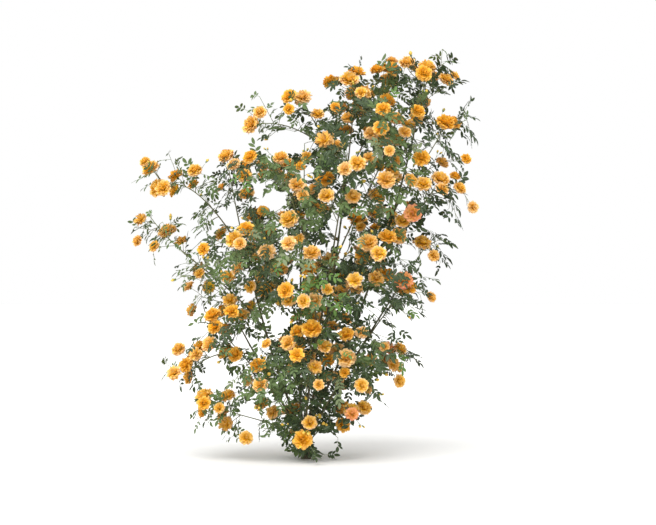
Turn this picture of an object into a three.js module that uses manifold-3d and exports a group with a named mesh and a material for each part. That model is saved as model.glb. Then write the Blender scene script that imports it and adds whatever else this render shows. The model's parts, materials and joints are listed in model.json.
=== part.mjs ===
// A climbing rose in flower, rooted in the ground: a short stem, arching canes, and sprays of leaf and bloom.
// Millimetres, +Z up. The origin is the middle of the flat cut at ground level, and -Y faces the viewer.
import * as THREE from "three";
import { mergeVertices } from "three/addons/utils/BufferGeometryUtils.js";
import Module from "manifold-3d";

// Stem: a short woody foot that flares at the ground and swells where the canes leave it
const STEM_HEIGHT = 165;
const STEM_LEAN = [-10, 6];
const STEM_RADIUS = 14;
const STEM_TAPER = 3;
const FLARE_RADIUS = 13;
const FLARE_HEIGHT = 22;
const KNUCKLE_RADIUS = 6;
const KNUCKLE_FROM = 0.4;
const STEM_SIDES = 10;
const STEM_STEPS = 8;

// Canes: radius at the foot, shrinking to the tip, and the handles that bow them
const MAIN_CANE_RADIUS = 6.6;
const SIDE_CANE_RADIUS = 4.8;
const CANE_TIP_SHARE = 0.62;
const CANE_SIDES = 5;
const MAIN_CANE_STEPS = 6;
const SIDE_CANE_STEPS = 4;
const SPRING_RISE = 1.5;
const SPRING_HANDLE = 0.2;
const LEAVING_TURN = 0.55;
const LEAVING_HANDLE = 0.38;
const ARRIVING_HANDLE = 0.34;
const SEAT_GAP = 0.3;

// Sprays: the leafy end of each shoot, at most a share of the whole shoot
const SPRAY_REACH = 430;
const SPRAY_MOST = 0.75;
const SPRAY_STEM_FOOT = 5;
const SPRAY_STEM_TIP = 3.4;
const SPRAY_STEM_STEPS = 4;

// Twigs: three-sided spikes set round the stem of their spray, tried long and then shorter
const TWIG_SPACING = 51;
const TWIG_RADIUS = 3;
const TWIG_SIDES = 3;
const TWIG_SPLAY = THREE.MathUtils.degToRad(60);
const TWIG_LIFT = 0.25;
const TWIG_WANDER = 0.8;
const TWIG_LENGTHS = [0.8, 1];
const TWIG_SHORTEST = 22;
const TWIG_TRIES = [1, 0.8, 0.6];
const TWIG_CHECKS = [0.2, 0.4, 0.6, 0.8, 1];
const TWIG_LEAVES_AT = [0.3, 0.55, 0.8];
const TWIG_LEAVES_LEAST = 2;
const GOLDEN_ANGLE = THREE.MathUtils.degToRad(137.508);

// Leaves: each blade stands for one leaf of five to seven leaflets
const LEAF_LENGTH = 135;
const LEAF_WIDTH = 88;
const LEAF_THICKNESS = 6;
const LEAF_WIDEST = 0.34;
const LEAF_FORWARD = 0.7;
const LEAF_DROOP = 0.35;
const LEAF_OUT = 1.5;
const LEAF_APART = 50;
const LEAF_CHECKS = [0.17, 0.34, 0.55, 0.78, 1];
const LEAF_GIRTH = 7;
const LEAF_REACH = 45;

// Blooms: full double heads, with heights and girths as shares of their radius
const BLOOM_RADIUS = 40;
const BLOOM_SIZES = [0.8, 1.15];
const BLOOM_PETALS = 5;
const BLOOM_FULL = 1.15;
const BLOOM_WAIST = 0.8;
const BLOOM_RIM = 0.5;
const BLOOM_TOP = 0.85;
const BLOOM_SUNK = 0.3;
const BLOOM_OFFSET = 0.22;
const BLOOM_MIDDLE = 0.4;
const BLOOM_GIRTH = 0.9;
const BLOOM_SHARE = 0.7;
const BLOOM_APART = 64;
const BLOOM_REACH = 42;
const BLOOM_OUT = 0.7;
const BLOOM_UP = 0.25;

// Half width and half depth of the whole crown
const CROWN_WIDTH = 795;
const CROWN_DEPTH = 420;

// Room that each spray keeps to itself, beside the other sprays, the canes and the ground
const SPRAY_MARGIN = 5;
const CANE_MARGIN = 4;
const GROUND_MARGIN = 4;
const SPRAY_LINE_STEPS = 8;
const CANE_LINE_STEPS = 16;
const SEED = 4211;
const SEED_STEP = 97;

// Main canes leave the stem at a share of its height, springing out at a bearing in degrees. Each ends at its
// tip in a spray whose twigs reach out to `spread`; `bend` lifts or drops the end.
const MAIN_CANES = [
  { name: "left", at: 0.5, spring: 205, tip: [-470, -40, 930], spread: 180, bend: 0.1 },
  { name: "upper_left", at: 0.72, spring: 160, tip: [-370, 20, 1400], spread: 180, bend: 0.6 },
  { name: "back", at: 0.82, spring: 112, tip: [-10, 240, 1480], spread: 250, bend: 0.6 },
  { name: "front", at: 0.62, spring: 270, tip: [190, -250, 1430], spread: 230, bend: 0.5 },
  { name: "top", at: 0.6, spring: 68, tip: [235, 20, 1790], spread: 185, bend: 0.9 },
  { name: "right", at: 0.8, spring: 12, tip: [560, 10, 1812], spread: 215, bend: 1.2 },
  { name: "low_right", at: 0.5, spring: 335, tip: [610, 60, 1060], spread: 165, bend: -0.1 },
];

// Side canes leave a main cane at a share of its length
const SIDE_CANES = [
  { name: "far_left", from: "upper_left", at: 0.96, tip: [-680, -40, 1255], spread: 160, bend: -1.1 },
  { name: "left_hook", from: "upper_left", at: 0.55, tip: [-725, 0, 1125], spread: 140, bend: 0.3 },
  { name: "left_hanging", from: "left", at: 0.85, tip: [-545, 40, 375], spread: 150, bend: -2 },
  { name: "left_skirt", from: "left", at: 0.38, tip: [-420, -165, 665], spread: 195, bend: 0.3 },
  { name: "left_shoulder", from: "top", at: 0.97, tip: [-250, -40, 1545], spread: 125, bend: -0.7 },
  { name: "top_left", from: "top", at: 0.93, tip: [-12, -60, 1668], spread: 140, bend: 0.4 },
  { name: "right_shoulder", from: "right", at: 0.8, tip: [640, -105, 1548], spread: 200, bend: 0.3 },
  { name: "right_middle", from: "right", at: 0.6, tip: [615, -130, 1285], spread: 195, bend: 0.1 },
  { name: "right_lower", from: "low_right", at: 0.66, tip: [470, -110, 795], spread: 155, bend: -0.2 },
  { name: "right_skirt", from: "low_right", at: 0.34, tip: [435, 10, 505], spread: 145, bend: -0.2 },
  { name: "front_left", from: "front", at: 0.66, tip: [-110, -250, 1380], spread: 230, bend: 0.6 },
  { name: "front_right", from: "front", at: 0.78, tip: [410, -210, 1560], spread: 230, bend: 0.7 },
  { name: "front_middle_left", from: "front", at: 0.42, tip: [-270, -230, 1060], spread: 230, bend: 0.5 },
  { name: "front_middle", from: "front", at: 0.46, tip: [30, -350, 950], spread: 230, bend: 0.4 },
  { name: "front_middle_right", from: "front", at: 0.52, tip: [370, -230, 1020], spread: 230, bend: 0.3 },
  { name: "back_right", from: "back", at: 0.7, tip: [400, 120, 1815], spread: 205, bend: 0.6 },
  { name: "back_middle_left", from: "back", at: 0.5, tip: [-240, 230, 1130], spread: 250, bend: 0.5 },
  { name: "back_middle_right", from: "back", at: 0.42, tip: [250, 250, 1100], spread: 250, bend: 0.5 },
  { name: "back_low", from: "back", at: 0.15, tip: [40, 270, 640], spread: 260, bend: 0.4 },
];

// Sprays that spring from the stem itself, with no cane of their own.
// Those with a bearing leave it as canes do.
const FOOT_SPRAYS = [
  { name: "foot_left", at: 0.3, tip: [-465, -60, 285], spread: 150, bend: 0.3 },
  { name: "foot_front", at: 0.26, tip: [20, -235, 185], spread: 175, bend: -0.3 },
  { name: "foot_right", at: 0.3, tip: [265, -90, 240], spread: 175, bend: -0.3 },
  { name: "foot_back", at: 0.6, tip: [60, 250, 330], spread: 230, bend: 0.2 },
  { name: "low_left", at: 0.42, spring: 228, tip: [-215, -200, 440], spread: 210, bend: 0.2 },
  { name: "low_front", at: 0.46, spring: 250, tip: [30, -320, 610], spread: 220, bend: 0.5 },
  { name: "low_front_right", at: 0.42, spring: 304, tip: [255, -220, 590], spread: 215, bend: 0.4 },
];

// Open places where the sky shows through the plant or under its skirts, as ovals seen from the front: middle
// and half size
const SKY_GAPS = [
  { x: -640, z: 1160, wide: 85, high: 42 },
  { x: -540, z: 1190, wide: 55, high: 46 },
  { x: -642, z: 935, wide: 46, high: 46 },
  { x: -452, z: 1362, wide: 38, high: 34 },
  { x: -360, z: 1116, wide: 75, high: 34 },
  { x: -300, z: 1535, wide: 36, high: 22 },
  { x: -78, z: 1472, wide: 110, high: 44 },
  { x: -138, z: 1202, wide: 42, high: 42 },
  { x: 62, z: 1673, wide: 40, high: 38 },
  { x: 137, z: 1800, wide: 36, high: 26 },
  { x: 158, z: 1080, wide: 50, high: 42 },
  { x: 630, z: 1660, wide: 62, high: 34 },
  { x: 600, z: 1440, wide: 36, high: 28 },
  { x: 700, z: 1463, wide: 34, high: 24 },
  { x: 600, z: 1105, wide: 46, high: 30 },
  { x: 479, z: 952, wide: 40, high: 34 },
  { x: 562, z: 895, wide: 30, high: 56 },
  { x: 310, z: 753, wide: 44, high: 18 },
  { x: 432, z: 647, wide: 50, high: 20 },
  { x: 354, z: 602, wide: 36, high: 26 },
  { x: 367, z: 345, wide: 38, high: 40 },
  { x: 221, z: 1428, wide: 32, high: 25 },
  { x: 10, z: 1325, wide: 27, high: 28 },
  { x: 181, z: 976, wide: 25, high: 36 },
  { x: -48, z: 853, wide: 29, high: 33 },
  { x: -264, z: 760, wide: 31, high: 20 },
  { x: -130, z: 625, wide: 26, high: 36 },
  { x: -495, z: 596, wide: 32, high: 26 },
  { x: -292, z: 540, wide: 38, high: 32 },
  { x: -425, z: 400, wide: 46, high: 84 },
  { x: -266, z: 200, wide: 46, high: 54 },
  { x: -165, z: 50, wide: 50, high: 50 },
  { x: 88, z: 80, wide: 50, high: 40 },
  { x: 460, z: 30, wide: 300, high: 165 },
  { x: -420, z: 5, wide: 280, high: 80 },
];

// The place that the plant is seen from, level with its middle
const VIEW_FROM = [102, -8470, 911];

const BARK = { color: 0x4c4a33, roughness: 0.85, metalness: 0 };
const FOLIAGE = { color: 0x47603a, roughness: 0.55, metalness: 0 };
const UP = new THREE.Vector3(0, 0, 1);
const ALONG_Y = new THREE.Vector3(0, 1, 0);
const ALONG_X = new THREE.Vector3(1, 0, 0);

const wasm = await Module();
wasm.setup();

// A repeatable stream of numbers from 0 to 1
function seeded(seed) {
  let state = seed >>> 0;
  return () => {
    state = (state + 0x6d2b79f5) >>> 0;
    let mixed = Math.imul(state ^ (state >>> 15), 1 | state);
    mixed = (mixed + Math.imul(mixed ^ (mixed >>> 7), 61 | mixed)) ^ mixed;
    return ((mixed ^ (mixed >>> 14)) >>> 0) / 4294967296;
  };
}

const between = ([low, high], share) => low + (high - low) * share;

function solidOf(geometry) {
  const bare = geometry.clone();
  bare.deleteAttribute("normal");
  bare.deleteAttribute("uv");
  const merged = mergeVertices(bare, 1e-4);
  const vertProperties = new Float32Array(merged.attributes.position.array);
  const triVerts = new Uint32Array(merged.index.array);
  return new wasm.Manifold(new wasm.Mesh({ numProp: 3, vertProperties, triVerts }));
}

function geometryOf(solid) {
  const { vertProperties, triVerts } = solid.getMesh();
  const geometry = new THREE.BufferGeometry();
  geometry.setAttribute("position", new THREE.BufferAttribute(new Float32Array(vertProperties), 3));
  geometry.setIndex(new THREE.BufferAttribute(new Uint32Array(triVerts), 1));
  geometry.computeVertexNormals();
  return geometry;
}

// The largest body of a solid: loose scraps and sealed hollows fall away
const largestBody = (solid) => solid.decompose().reduce((a, b) => (b.volume() > a.volume() ? b : a));

// Moves every point of a geometry by a function
function reshape(geometry, move) {
  const place = geometry.attributes.position;
  for (let i = 0; i < place.count; i++) {
    const point = move(new THREE.Vector3().fromBufferAttribute(place, i));
    place.setXYZ(i, point.x, point.y, point.z);
  }
  return geometry;
}

// Part of a curve, by shares of its length
class Stretch extends THREE.Curve {
  constructor(whole, first, last) {
    super();
    Object.assign(this, { whole, first, last });
  }
  getPoint(share, target = new THREE.Vector3()) {
    return this.whole.getPointAt(this.first + (this.last - this.first) * share, target);
  }
}

// A round limb: a cylinder bent along a curve, its radius given by a function of the share of length.
// `swell` grows it all round, ends included, to cut room for it out of a neighbour.
function limb(curve, radiusAt, sides, steps, swell = 0) {
  const frames = curve.computeFrenetFrames(steps, false);
  const bent = reshape(new THREE.CylinderGeometry(1, 1, 1, sides, steps), (point) => {
    const step = Math.round((point.y + 0.5) * steps);
    const radius = radiusAt(step / steps) + swell;
    const tangent = frames.tangents[step];
    const across = frames.normals[step];
    const other = new THREE.Vector3().crossVectors(across, tangent);
    const end = step === 0 ? -swell : step === steps ? swell : 0;
    return curve
      .getPointAt(step / steps)
      .addScaledVector(across, point.x * radius)
      .addScaledVector(other, point.z * radius)
      .addScaledVector(tangent, end);
  });
  return solidOf(bent);
}

const taper = (foot, tip) => (share) => between([foot, tip], share);
const caneBody = (cane, swell = 0) => limb(cane.curve, cane.radiusAt, cane.sides, cane.steps, swell);

// The woody foot, upright where it is cut at the ground
const stemTop = new THREE.Vector3(...STEM_LEAN, STEM_HEIGHT);
const stemCurve = new THREE.CubicBezierCurve3(
  new THREE.Vector3(),
  UP.clone().multiplyScalar(STEM_HEIGHT * LEAVING_HANDLE),
  stemTop.clone().addScaledVector(UP, -STEM_HEIGHT * ARRIVING_HANDLE),
  stemTop,
);
function stemRadius(share) {
  const flare = FLARE_RADIUS * Math.exp((-share * STEM_HEIGHT) / FLARE_HEIGHT);
  const rise = THREE.MathUtils.clamp((share - KNUCKLE_FROM) / (1 - KNUCKLE_FROM), 0, 1);
  return STEM_RADIUS + flare + KNUCKLE_RADIUS * Math.sin(Math.PI * rise) ** 2 - STEM_TAPER * share;
}

const limbs = new Map();
limbs.set("stem", { curve: stemCurve, radiusAt: stemRadius, sides: STEM_SIDES, steps: STEM_STEPS });

// The line of a shoot from its parent to its tip
function shootCurve(parent, { at, spring, tip, bend }) {
  const start = parent.curve.getPointAt(at);
  const end = new THREE.Vector3(...tip);
  const span = start.distanceTo(end);
  const ahead = end.clone().sub(start).normalize();
  const leaving = parent.curve.getTangentAt(at).lerp(ahead, LEAVING_TURN).normalize();
  let handle = LEAVING_HANDLE;
  if (spring !== undefined) {
    const bearing = THREE.MathUtils.degToRad(spring);
    leaving.set(Math.cos(bearing), Math.sin(bearing), SPRING_RISE).normalize();
    handle = SPRING_HANDLE;
  }
  const arriving = ahead.clone().addScaledVector(UP, bend).normalize();
  return new THREE.CubicBezierCurve3(
    start,
    start.clone().addScaledVector(leaving, span * handle),
    end.clone().addScaledVector(arriving, -span * ARRIVING_HANDLE),
    end,
  );
}

// Each shoot is a cane as far as its spray, and then the stem of the spray, just clear of the cane's tip
const sprays = [];
function addShoot(shoot, parent, foot, steps) {
  const whole = shootCurve(parent, shoot);
  const length = whole.getLength();
  const split = 1 - Math.min(SPRAY_REACH / length, SPRAY_MOST);
  const curve = new Stretch(whole, 0, split);
  const radiusAt = taper(foot, foot * CANE_TIP_SHARE);
  limbs.set(shoot.name, { curve, radiusAt, parent, sides: CANE_SIDES, steps });
  sprays.push({ ...shoot, stem: new Stretch(whole, split + SEAT_GAP / length, 1) });
}
for (const shoot of MAIN_CANES) addShoot(shoot, limbs.get("stem"), MAIN_CANE_RADIUS, MAIN_CANE_STEPS);
for (const shoot of SIDE_CANES) addShoot(shoot, limbs.get(shoot.from), SIDE_CANE_RADIUS, SIDE_CANE_STEPS);
for (const shoot of FOOT_SPRAYS) {
  const parent = limbs.get("stem");
  sprays.push({ ...shoot, stem: shootCurve(parent, shoot), parent });
}
for (const spray of sprays) spray.line = spray.stem.getSpacedPoints(SPRAY_LINE_STEPS);
for (const cane of limbs.values()) cane.line = cane.curve.getSpacedPoints(CANE_LINE_STEPS);

// The nearest distance from a place to a line of points
function distanceToLine(place, line) {
  const segment = new THREE.Line3();
  const near = new THREE.Vector3();
  let best = Infinity;
  for (let i = 0; i + 1 < line.length; i++) {
    segment.set(line[i], line[i + 1]).closestPointToPoint(place, true, near);
    best = Math.min(best, near.distanceTo(place));
  }
  return best;
}

// True if a place is further than its girth from every cane
function clearOfCanes(place, girth) {
  const canes = [...limbs.values()];
  return canes.every((cane) => distanceToLine(place, cane.line) > cane.radiusAt(0) + CANE_MARGIN + girth);
}

// True if a place, as the viewer sees it, lies in an open place of the plant
function inSkyGap(place) {
  const [viewX, viewY, viewZ] = VIEW_FROM;
  const nearer = viewY / (viewY - place.y);
  const x = viewX + (place.x - viewX) * nearer;
  const z = viewZ + (place.z - viewZ) * nearer;
  return SKY_GAPS.some((gap) => Math.hypot((x - gap.x) / gap.wide, (z - gap.z) / gap.high) < 1);
}

// True if every place lies in the spray's own room: nearer its stem than any other,
// and off the canes, the ground and the sky gaps
function fits(spray, places, girth) {
  return places.every((place) => {
    if (place.z < GROUND_MARGIN + girth || inSkyGap(place)) return false;
    const own = distanceToLine(place, spray.line);
    if (own > spray.spread) return false;
    const rivals = sprays.filter((other) => other !== spray);
    if (rivals.some((other) => distanceToLine(place, other.line) < own + SPRAY_MARGIN)) return false;
    return clearOfCanes(place, girth);
  });
}

// A twig: a three-sided spike from inside its stem to its end
function twigSpike({ root, end }) {
  const way = end.clone().sub(root);
  const length = way.length();
  const geometry = new THREE.ConeGeometry(TWIG_RADIUS, length, TWIG_SIDES, 1);
  geometry.translate(0, length / 2, 0);
  geometry.applyQuaternion(new THREE.Quaternion().setFromUnitVectors(ALONG_Y, way.normalize()));
  return geometry.translate(root.x, root.y, root.z);
}

// A leaf: a kite-shaped blade, keeled along its midrib, whose point is sunk in the twig
function leafBlade({ root, along, across }) {
  const face = new THREE.Vector3().crossVectors(across, along);
  return reshape(new THREE.TetrahedronGeometry(1), (corner) => {
    const near = corner.x > 0;
    if (corner.z > 0) return root.clone().addScaledVector(along, near ? 0 : LEAF_LENGTH);
    return root
      .clone()
      .addScaledVector(along, LEAF_LENGTH * LEAF_WIDEST)
      .addScaledVector(across, (near ? LEAF_WIDTH : -LEAF_WIDTH) / 2)
      .addScaledVector(face, LEAF_THICKNESS);
  });
}

// A bloom: a domed rosette, its back drawn in to the stalk
function bloomHead({ seat, facing, radius }) {
  const turn = new THREE.Quaternion().setFromUnitVectors(UP, facing);
  const geometry = new THREE.SphereGeometry(1, BLOOM_PETALS, 3);
  geometry.rotateX(Math.PI / 2);
  return reshape(geometry, (point) => {
    const rim = Math.hypot(point.x, point.y) > 0.5;
    const front = point.z > 0;
    const girth = front ? BLOOM_FULL : BLOOM_WAIST;
    const pole = front ? BLOOM_TOP : -BLOOM_SUNK;
    const brim = front ? BLOOM_RIM : 0;
    const shaped = new THREE.Vector3(BLOOM_OFFSET, 0, rim ? brim : pole);
    if (rim) shaped.add(new THREE.Vector3(point.x * girth, point.y * girth, 0));
    return shaped.multiplyScalar(radius).applyQuaternion(turn).add(seat);
  });
}

// Places spread over a leaf, but for its sunk root
function leafPlaces({ root, along, across }) {
  return LEAF_CHECKS.flatMap((reach) => {
    const share = reach < LEAF_WIDEST ? reach / LEAF_WIDEST : (1 - reach) / (1 - LEAF_WIDEST);
    return [-1, 0, 1].map((side) =>
      root
        .clone()
        .addScaledVector(along, LEAF_LENGTH * reach)
        .addScaledVector(across, (side * share * LEAF_WIDTH) / 2),
    );
  });
}

function cornersOf(geometry) {
  const place = geometry.attributes.position;
  return Array.from({ length: place.count }, (_, i) => new THREE.Vector3().fromBufferAttribute(place, i));
}

const leafMiddle = ({ root, along }) => root.clone().addScaledVector(along, LEAF_LENGTH / 2);
const bloomMiddle = ({ seat, facing, radius }) => seat.clone().addScaledVector(facing, radius * BLOOM_MIDDLE);

// A unit vector square to another, turned about it by an angle
function sideways(along, angle) {
  const helper = Math.abs(along.z) < 0.9 ? UP : ALONG_X;
  return new THREE.Vector3().crossVectors(along, helper).normalize().applyAxisAngle(along, angle);
}

// The way out of the flattened crown at a place
function outOfCrown(place) {
  return new THREE.Vector3(place.x / CROWN_WIDTH ** 2, place.y / CROWN_DEPTH ** 2, 0).normalize();
}

// A leaf's own ways: out from its twig and drooping, its blade turned to the light
function leafFrom(root, twigWay, side) {
  const along = side.clone().addScaledVector(twigWay, LEAF_FORWARD).addScaledVector(UP, -LEAF_DROOP);
  along.normalize();
  const light = outOfCrown(root).multiplyScalar(LEAF_OUT).add(UP);
  return { root, along, across: new THREE.Vector3().crossVectors(along, light).normalize() };
}

// A bloom's own ways: on from its twig, out of the crown and up
function bloomFrom(seat, twigWay, radius) {
  const facing = outOfCrown(seat).multiplyScalar(BLOOM_OUT).add(twigWay).addScaledVector(UP, BLOOM_UP);
  return { seat, facing: facing.normalize(), radius };
}

// The plan of one spray: a bloom at its tip, and twigs set round its stem by the golden angle, each with
// leaves on its way and a bloom at its end where there is room for one
function planSpray(spray, index) {
  const { stem, spread } = spray;
  const next = seeded(SEED + index * SEED_STEP);
  const plan = { twigs: [], leaves: [], blooms: [] };
  const middles = [];
  const apart = (place, gap) => middles.every((other) => other.distanceTo(place) > gap);
  const leafFits = (leaf) => apart(leafMiddle(leaf), LEAF_APART) && fits(spray, leafPlaces(leaf), LEAF_GIRTH);
  const bloomFits = (bloom) =>
    apart(bloomMiddle(bloom), BLOOM_APART) &&
    clearOfCanes(bloomMiddle(bloom), bloom.radius * BLOOM_GIRTH) &&
    fits(spray, cornersOf(bloomHead(bloom)), 0);
  const addLeaf = (leaf) => {
    plan.leaves.push(leaf);
    middles.push(leafMiddle(leaf));
  };
  const addBloom = (bloom) => {
    plan.blooms.push(bloom);
    middles.push(bloomMiddle(bloom));
  };

  const crownRadius = BLOOM_RADIUS * between(BLOOM_SIZES, next());
  const crowning = bloomFrom(stem.getPointAt(1), stem.getTangentAt(1), crownRadius);
  if (bloomFits(crowning)) addBloom(crowning);
  const count = Math.round(stem.getLength() / TWIG_SPACING);
  for (let k = 0; k < count; k++) {
    const share = (k + 0.7) / (count + 0.3);
    const root = stem.getPointAt(share);
    const way = stem.getTangentAt(share);
    const side = sideways(way, k * GOLDEN_ANGLE + next() * TWIG_WANDER);
    const out = way.clone().multiplyScalar(Math.cos(TWIG_SPLAY)).addScaledVector(side, Math.sin(TWIG_SPLAY));
    out.addScaledVector(UP, TWIG_LIFT).normalize();
    const length = spread * between(TWIG_LENGTHS, next());
    const radius = BLOOM_RADIUS * between(BLOOM_SIZES, next());
    const endings = next() < BLOOM_SHARE ? [true, false] : [false];
    const turn = next() * 2 * Math.PI;
    const tries = endings.flatMap((flowers) => TWIG_TRIES.map((cut) => ({ flowers, cut })));
    for (const { flowers, cut } of tries) {
      const reach = length * cut - (flowers ? BLOOM_REACH : LEAF_REACH);
      if (reach < TWIG_SHORTEST) continue;
      const end = root.clone().addScaledVector(out, reach);
      const on = (at) => root.clone().lerp(end, at);
      if (!fits(spray, TWIG_CHECKS.map(on), TWIG_RADIUS)) continue;
      const bloom = bloomFrom(end, out, radius);
      if (flowers && !bloomFits(bloom)) continue;
      const leaves = TWIG_LEAVES_AT.map((at, i) => leafFrom(on(at), out, sideways(out, turn + i * Math.PI)));
      const kept = leaves.filter(leafFits);
      if (!flowers && kept.length < TWIG_LEAVES_LEAST) continue;
      plan.twigs.push({ root, end });
      if (flowers) addBloom(bloom);
      kept.forEach(addLeaf);
      break;
    }
    const opposite = leafFrom(root, way, side.clone().negate());
    if (leafFits(opposite)) addLeaf(opposite);
  }
  return plan;
}

// The solid of one spray, all of it fused to its stem
function sprayBody(spray, plan) {
  const stem = limb(spray.stem, taper(SPRAY_STEM_FOOT, SPRAY_STEM_TIP), TWIG_SIDES, SPRAY_STEM_STEPS);
  const shapes = [...plan.twigs.map(twigSpike), ...plan.leaves.map(leafBlade), ...plan.blooms.map(bloomHead)];
  const fused = wasm.Manifold.union([stem, ...shapes.map(solidOf)]);
  return largestBody(spray.parent ? fused.subtract(caneBody(spray.parent, SEAT_GAP)) : fused);
}

const rose = new THREE.Group();
rose.name = "climbing_rose";
function add(name, solid, look) {
  const mesh = new THREE.Mesh(geometryOf(solid), new THREE.MeshStandardMaterial(look));
  mesh.name = name;
  rose.add(mesh);
}

for (const [name, cane] of limbs) {
  const { parent } = cane;
  if (parent) add(`cane_${name}`, largestBody(caneBody(cane).subtract(caneBody(parent, SEAT_GAP))), BARK);
  else add(name, caneBody(cane), BARK);
}
sprays.forEach((spray, index) => {
  add(`spray_${spray.name}`, sprayBody(spray, planSpray(spray, index)), FOLIAGE);
});

export default rose;
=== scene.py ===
"""A climbing rose in flower: barked stem and canes, leafy twigs, double blooms and buds."""
import functools
import itertools
import json
import math

import bpy
import numpy as np
from bpy.props import FloatProperty, FloatVectorProperty, IntProperty, PointerProperty
from bpy.types import Operator, Panel, PropertyGroup
from mathutils import Matrix, Vector

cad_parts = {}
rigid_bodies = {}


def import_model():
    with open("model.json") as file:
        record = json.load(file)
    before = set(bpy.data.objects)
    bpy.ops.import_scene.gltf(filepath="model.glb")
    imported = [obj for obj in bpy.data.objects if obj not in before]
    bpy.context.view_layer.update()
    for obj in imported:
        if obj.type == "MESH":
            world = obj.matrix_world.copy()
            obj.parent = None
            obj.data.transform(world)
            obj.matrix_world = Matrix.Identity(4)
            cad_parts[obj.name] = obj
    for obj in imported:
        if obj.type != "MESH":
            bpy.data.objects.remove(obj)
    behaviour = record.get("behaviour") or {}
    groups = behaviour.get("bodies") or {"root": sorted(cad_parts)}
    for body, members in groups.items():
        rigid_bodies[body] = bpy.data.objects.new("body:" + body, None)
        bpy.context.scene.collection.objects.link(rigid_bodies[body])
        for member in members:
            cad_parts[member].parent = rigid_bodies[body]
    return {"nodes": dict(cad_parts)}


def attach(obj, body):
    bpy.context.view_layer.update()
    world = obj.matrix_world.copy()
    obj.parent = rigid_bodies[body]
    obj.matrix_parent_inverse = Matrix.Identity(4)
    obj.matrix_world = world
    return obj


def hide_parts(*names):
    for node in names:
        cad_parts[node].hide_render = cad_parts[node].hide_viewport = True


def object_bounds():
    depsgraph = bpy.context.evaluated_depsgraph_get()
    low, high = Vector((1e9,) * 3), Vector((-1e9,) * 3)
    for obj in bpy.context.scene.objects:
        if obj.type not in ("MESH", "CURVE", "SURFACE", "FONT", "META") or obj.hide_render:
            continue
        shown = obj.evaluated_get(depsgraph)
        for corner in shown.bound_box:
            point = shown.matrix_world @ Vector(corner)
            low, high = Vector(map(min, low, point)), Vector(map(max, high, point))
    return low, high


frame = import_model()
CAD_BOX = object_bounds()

bl_info = {
    "name": "Climbing rose",
    "version": (1, 0, 0),
    "blender": (4, 5, 0),
    "location": "3D View > Sidebar > Rose",
    "description": "Grows a climbing rose with barked canes, leaves of many leaflets and double blooms",
    "category": "Add Mesh",
}

MM = 0.001
SHARED_MAP = "OFBake"
UP = np.array([0.0, 0.0, 1.0])
ALONG_X = np.array([1.0, 0.0, 0.0])
FULL_TURN = 2 * math.pi
WORD = 0xFFFFFFFF

# A way that rises more than this is too steep to be crossed with up
STEEP = 0.9

# The stage: where the camera stands in millimetres, the white room's light, and the sun from the upper left
VIEW_FROM = (102, -8470, 911)
LENS = 100
SENSOR = 36
ROOM_LIGHT = 0.9
SUN_LIGHT = 2.45
SUN_SPREAD = math.radians(50)
LIGHT_WAY = (0.22, 0.75, -0.95)
FLOOR_HALF = 30.0
FLOOR_SUNK = 0.001
FLOOR_ROUGHNESS = 0.9

# The plant's own rule, in millimetres: stem and canes
STEM_HEIGHT = 165
STEM_LEAN = (-10, 6)
STEM_RADIUS = 14
STEM_TAPER = 3
FLARE_RADIUS = 13
FLARE_HEIGHT = 22
KNUCKLE_RADIUS = 6
KNUCKLE_FROM = 0.4
MAIN_CANE_RADIUS = 6.6
SIDE_CANE_RADIUS = 4.8
CANE_TIP_SHARE = 0.62
SPRING_RISE = 1.5
SPRING_HANDLE = 0.2
LEAVING_TURN = 0.55
LEAVING_HANDLE = 0.38
ARRIVING_HANDLE = 0.34

# Sprays and their main twigs; of n twigs, number k stands at (k + TWIG_FIRST) / (n + TWIG_REST) of the stem
SPRAY_REACH = 430
SPRAY_MOST = 0.75
TWIG_SPACING = 51
TWIG_FIRST = 0.7
TWIG_REST = 0.3
TWIG_SPLAY = math.radians(60)
TWIG_LIFT = 0.25
TWIG_WANDER = 0.8
TWIG_LENGTHS = (0.8, 1)
TWIG_HANDLES = (0.42, 0.3)
TWIG_GIRTH = 3
TWIG_SHORTEST = 22
TWIG_TRIES = (1, 0.8, 0.6)
TWIG_CHECKS = (0.2, 0.4, 0.6, 0.8, 1)
TWIG_LEAVES_AT = (0.3, 0.55, 0.8)
TWIG_LEAVES_LEAST = 2
GOLDEN_ANGLE = math.radians(137.508)

# Leaves and blooms in the solids: sizes in millimetres, and shares of a leaf's length or a bloom's radius
LEAF_LENGTH = 135
LEAF_WIDTH = 88
LEAF_WIDEST = 0.34
LEAF_FORWARD = 0.7
LEAF_DROOP = 0.35
LEAF_OUT = 1.5
LEAF_APART = 50
LEAF_CHECKS = (0.17, 0.34, 0.55, 0.78, 1)
LEAF_GIRTH = 7
LEAF_REACH = 45
BLOOM_RADIUS = 40
BLOOM_SIZES = (0.8, 1.15)
BLOOM_SIDES = 5
BLOOM_RING = math.sin(math.radians(60))
BLOOM_FULL = 1.15
BLOOM_WAIST = 0.8
BLOOM_RIM = 0.5
BLOOM_TOP = 0.85
BLOOM_SUNK = 0.3
BLOOM_OFFSET = 0.22
BLOOM_MIDDLE = 0.4
BLOOM_GIRTH = 0.9
BLOOM_SHARE = 0.7
BLOOM_APART = 64
BLOOM_REACH = 42
BLOOM_OUT = 0.7
BLOOM_UP = 0.25

# The crown, whose way out has a least rise so that it is never nought, and the room that a spray keeps
CROWN_WIDTH = 795
CROWN_DEPTH = 420
LEAST_RISE = 1e-12
SPRAY_MARGIN = 5
CANE_MARGIN = 4
GROUND_MARGIN = 4
SPRAY_LINE_STEPS = 8
CANE_LINE_STEPS = 16
SEED = 4211
SEED_STEP = 97

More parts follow.
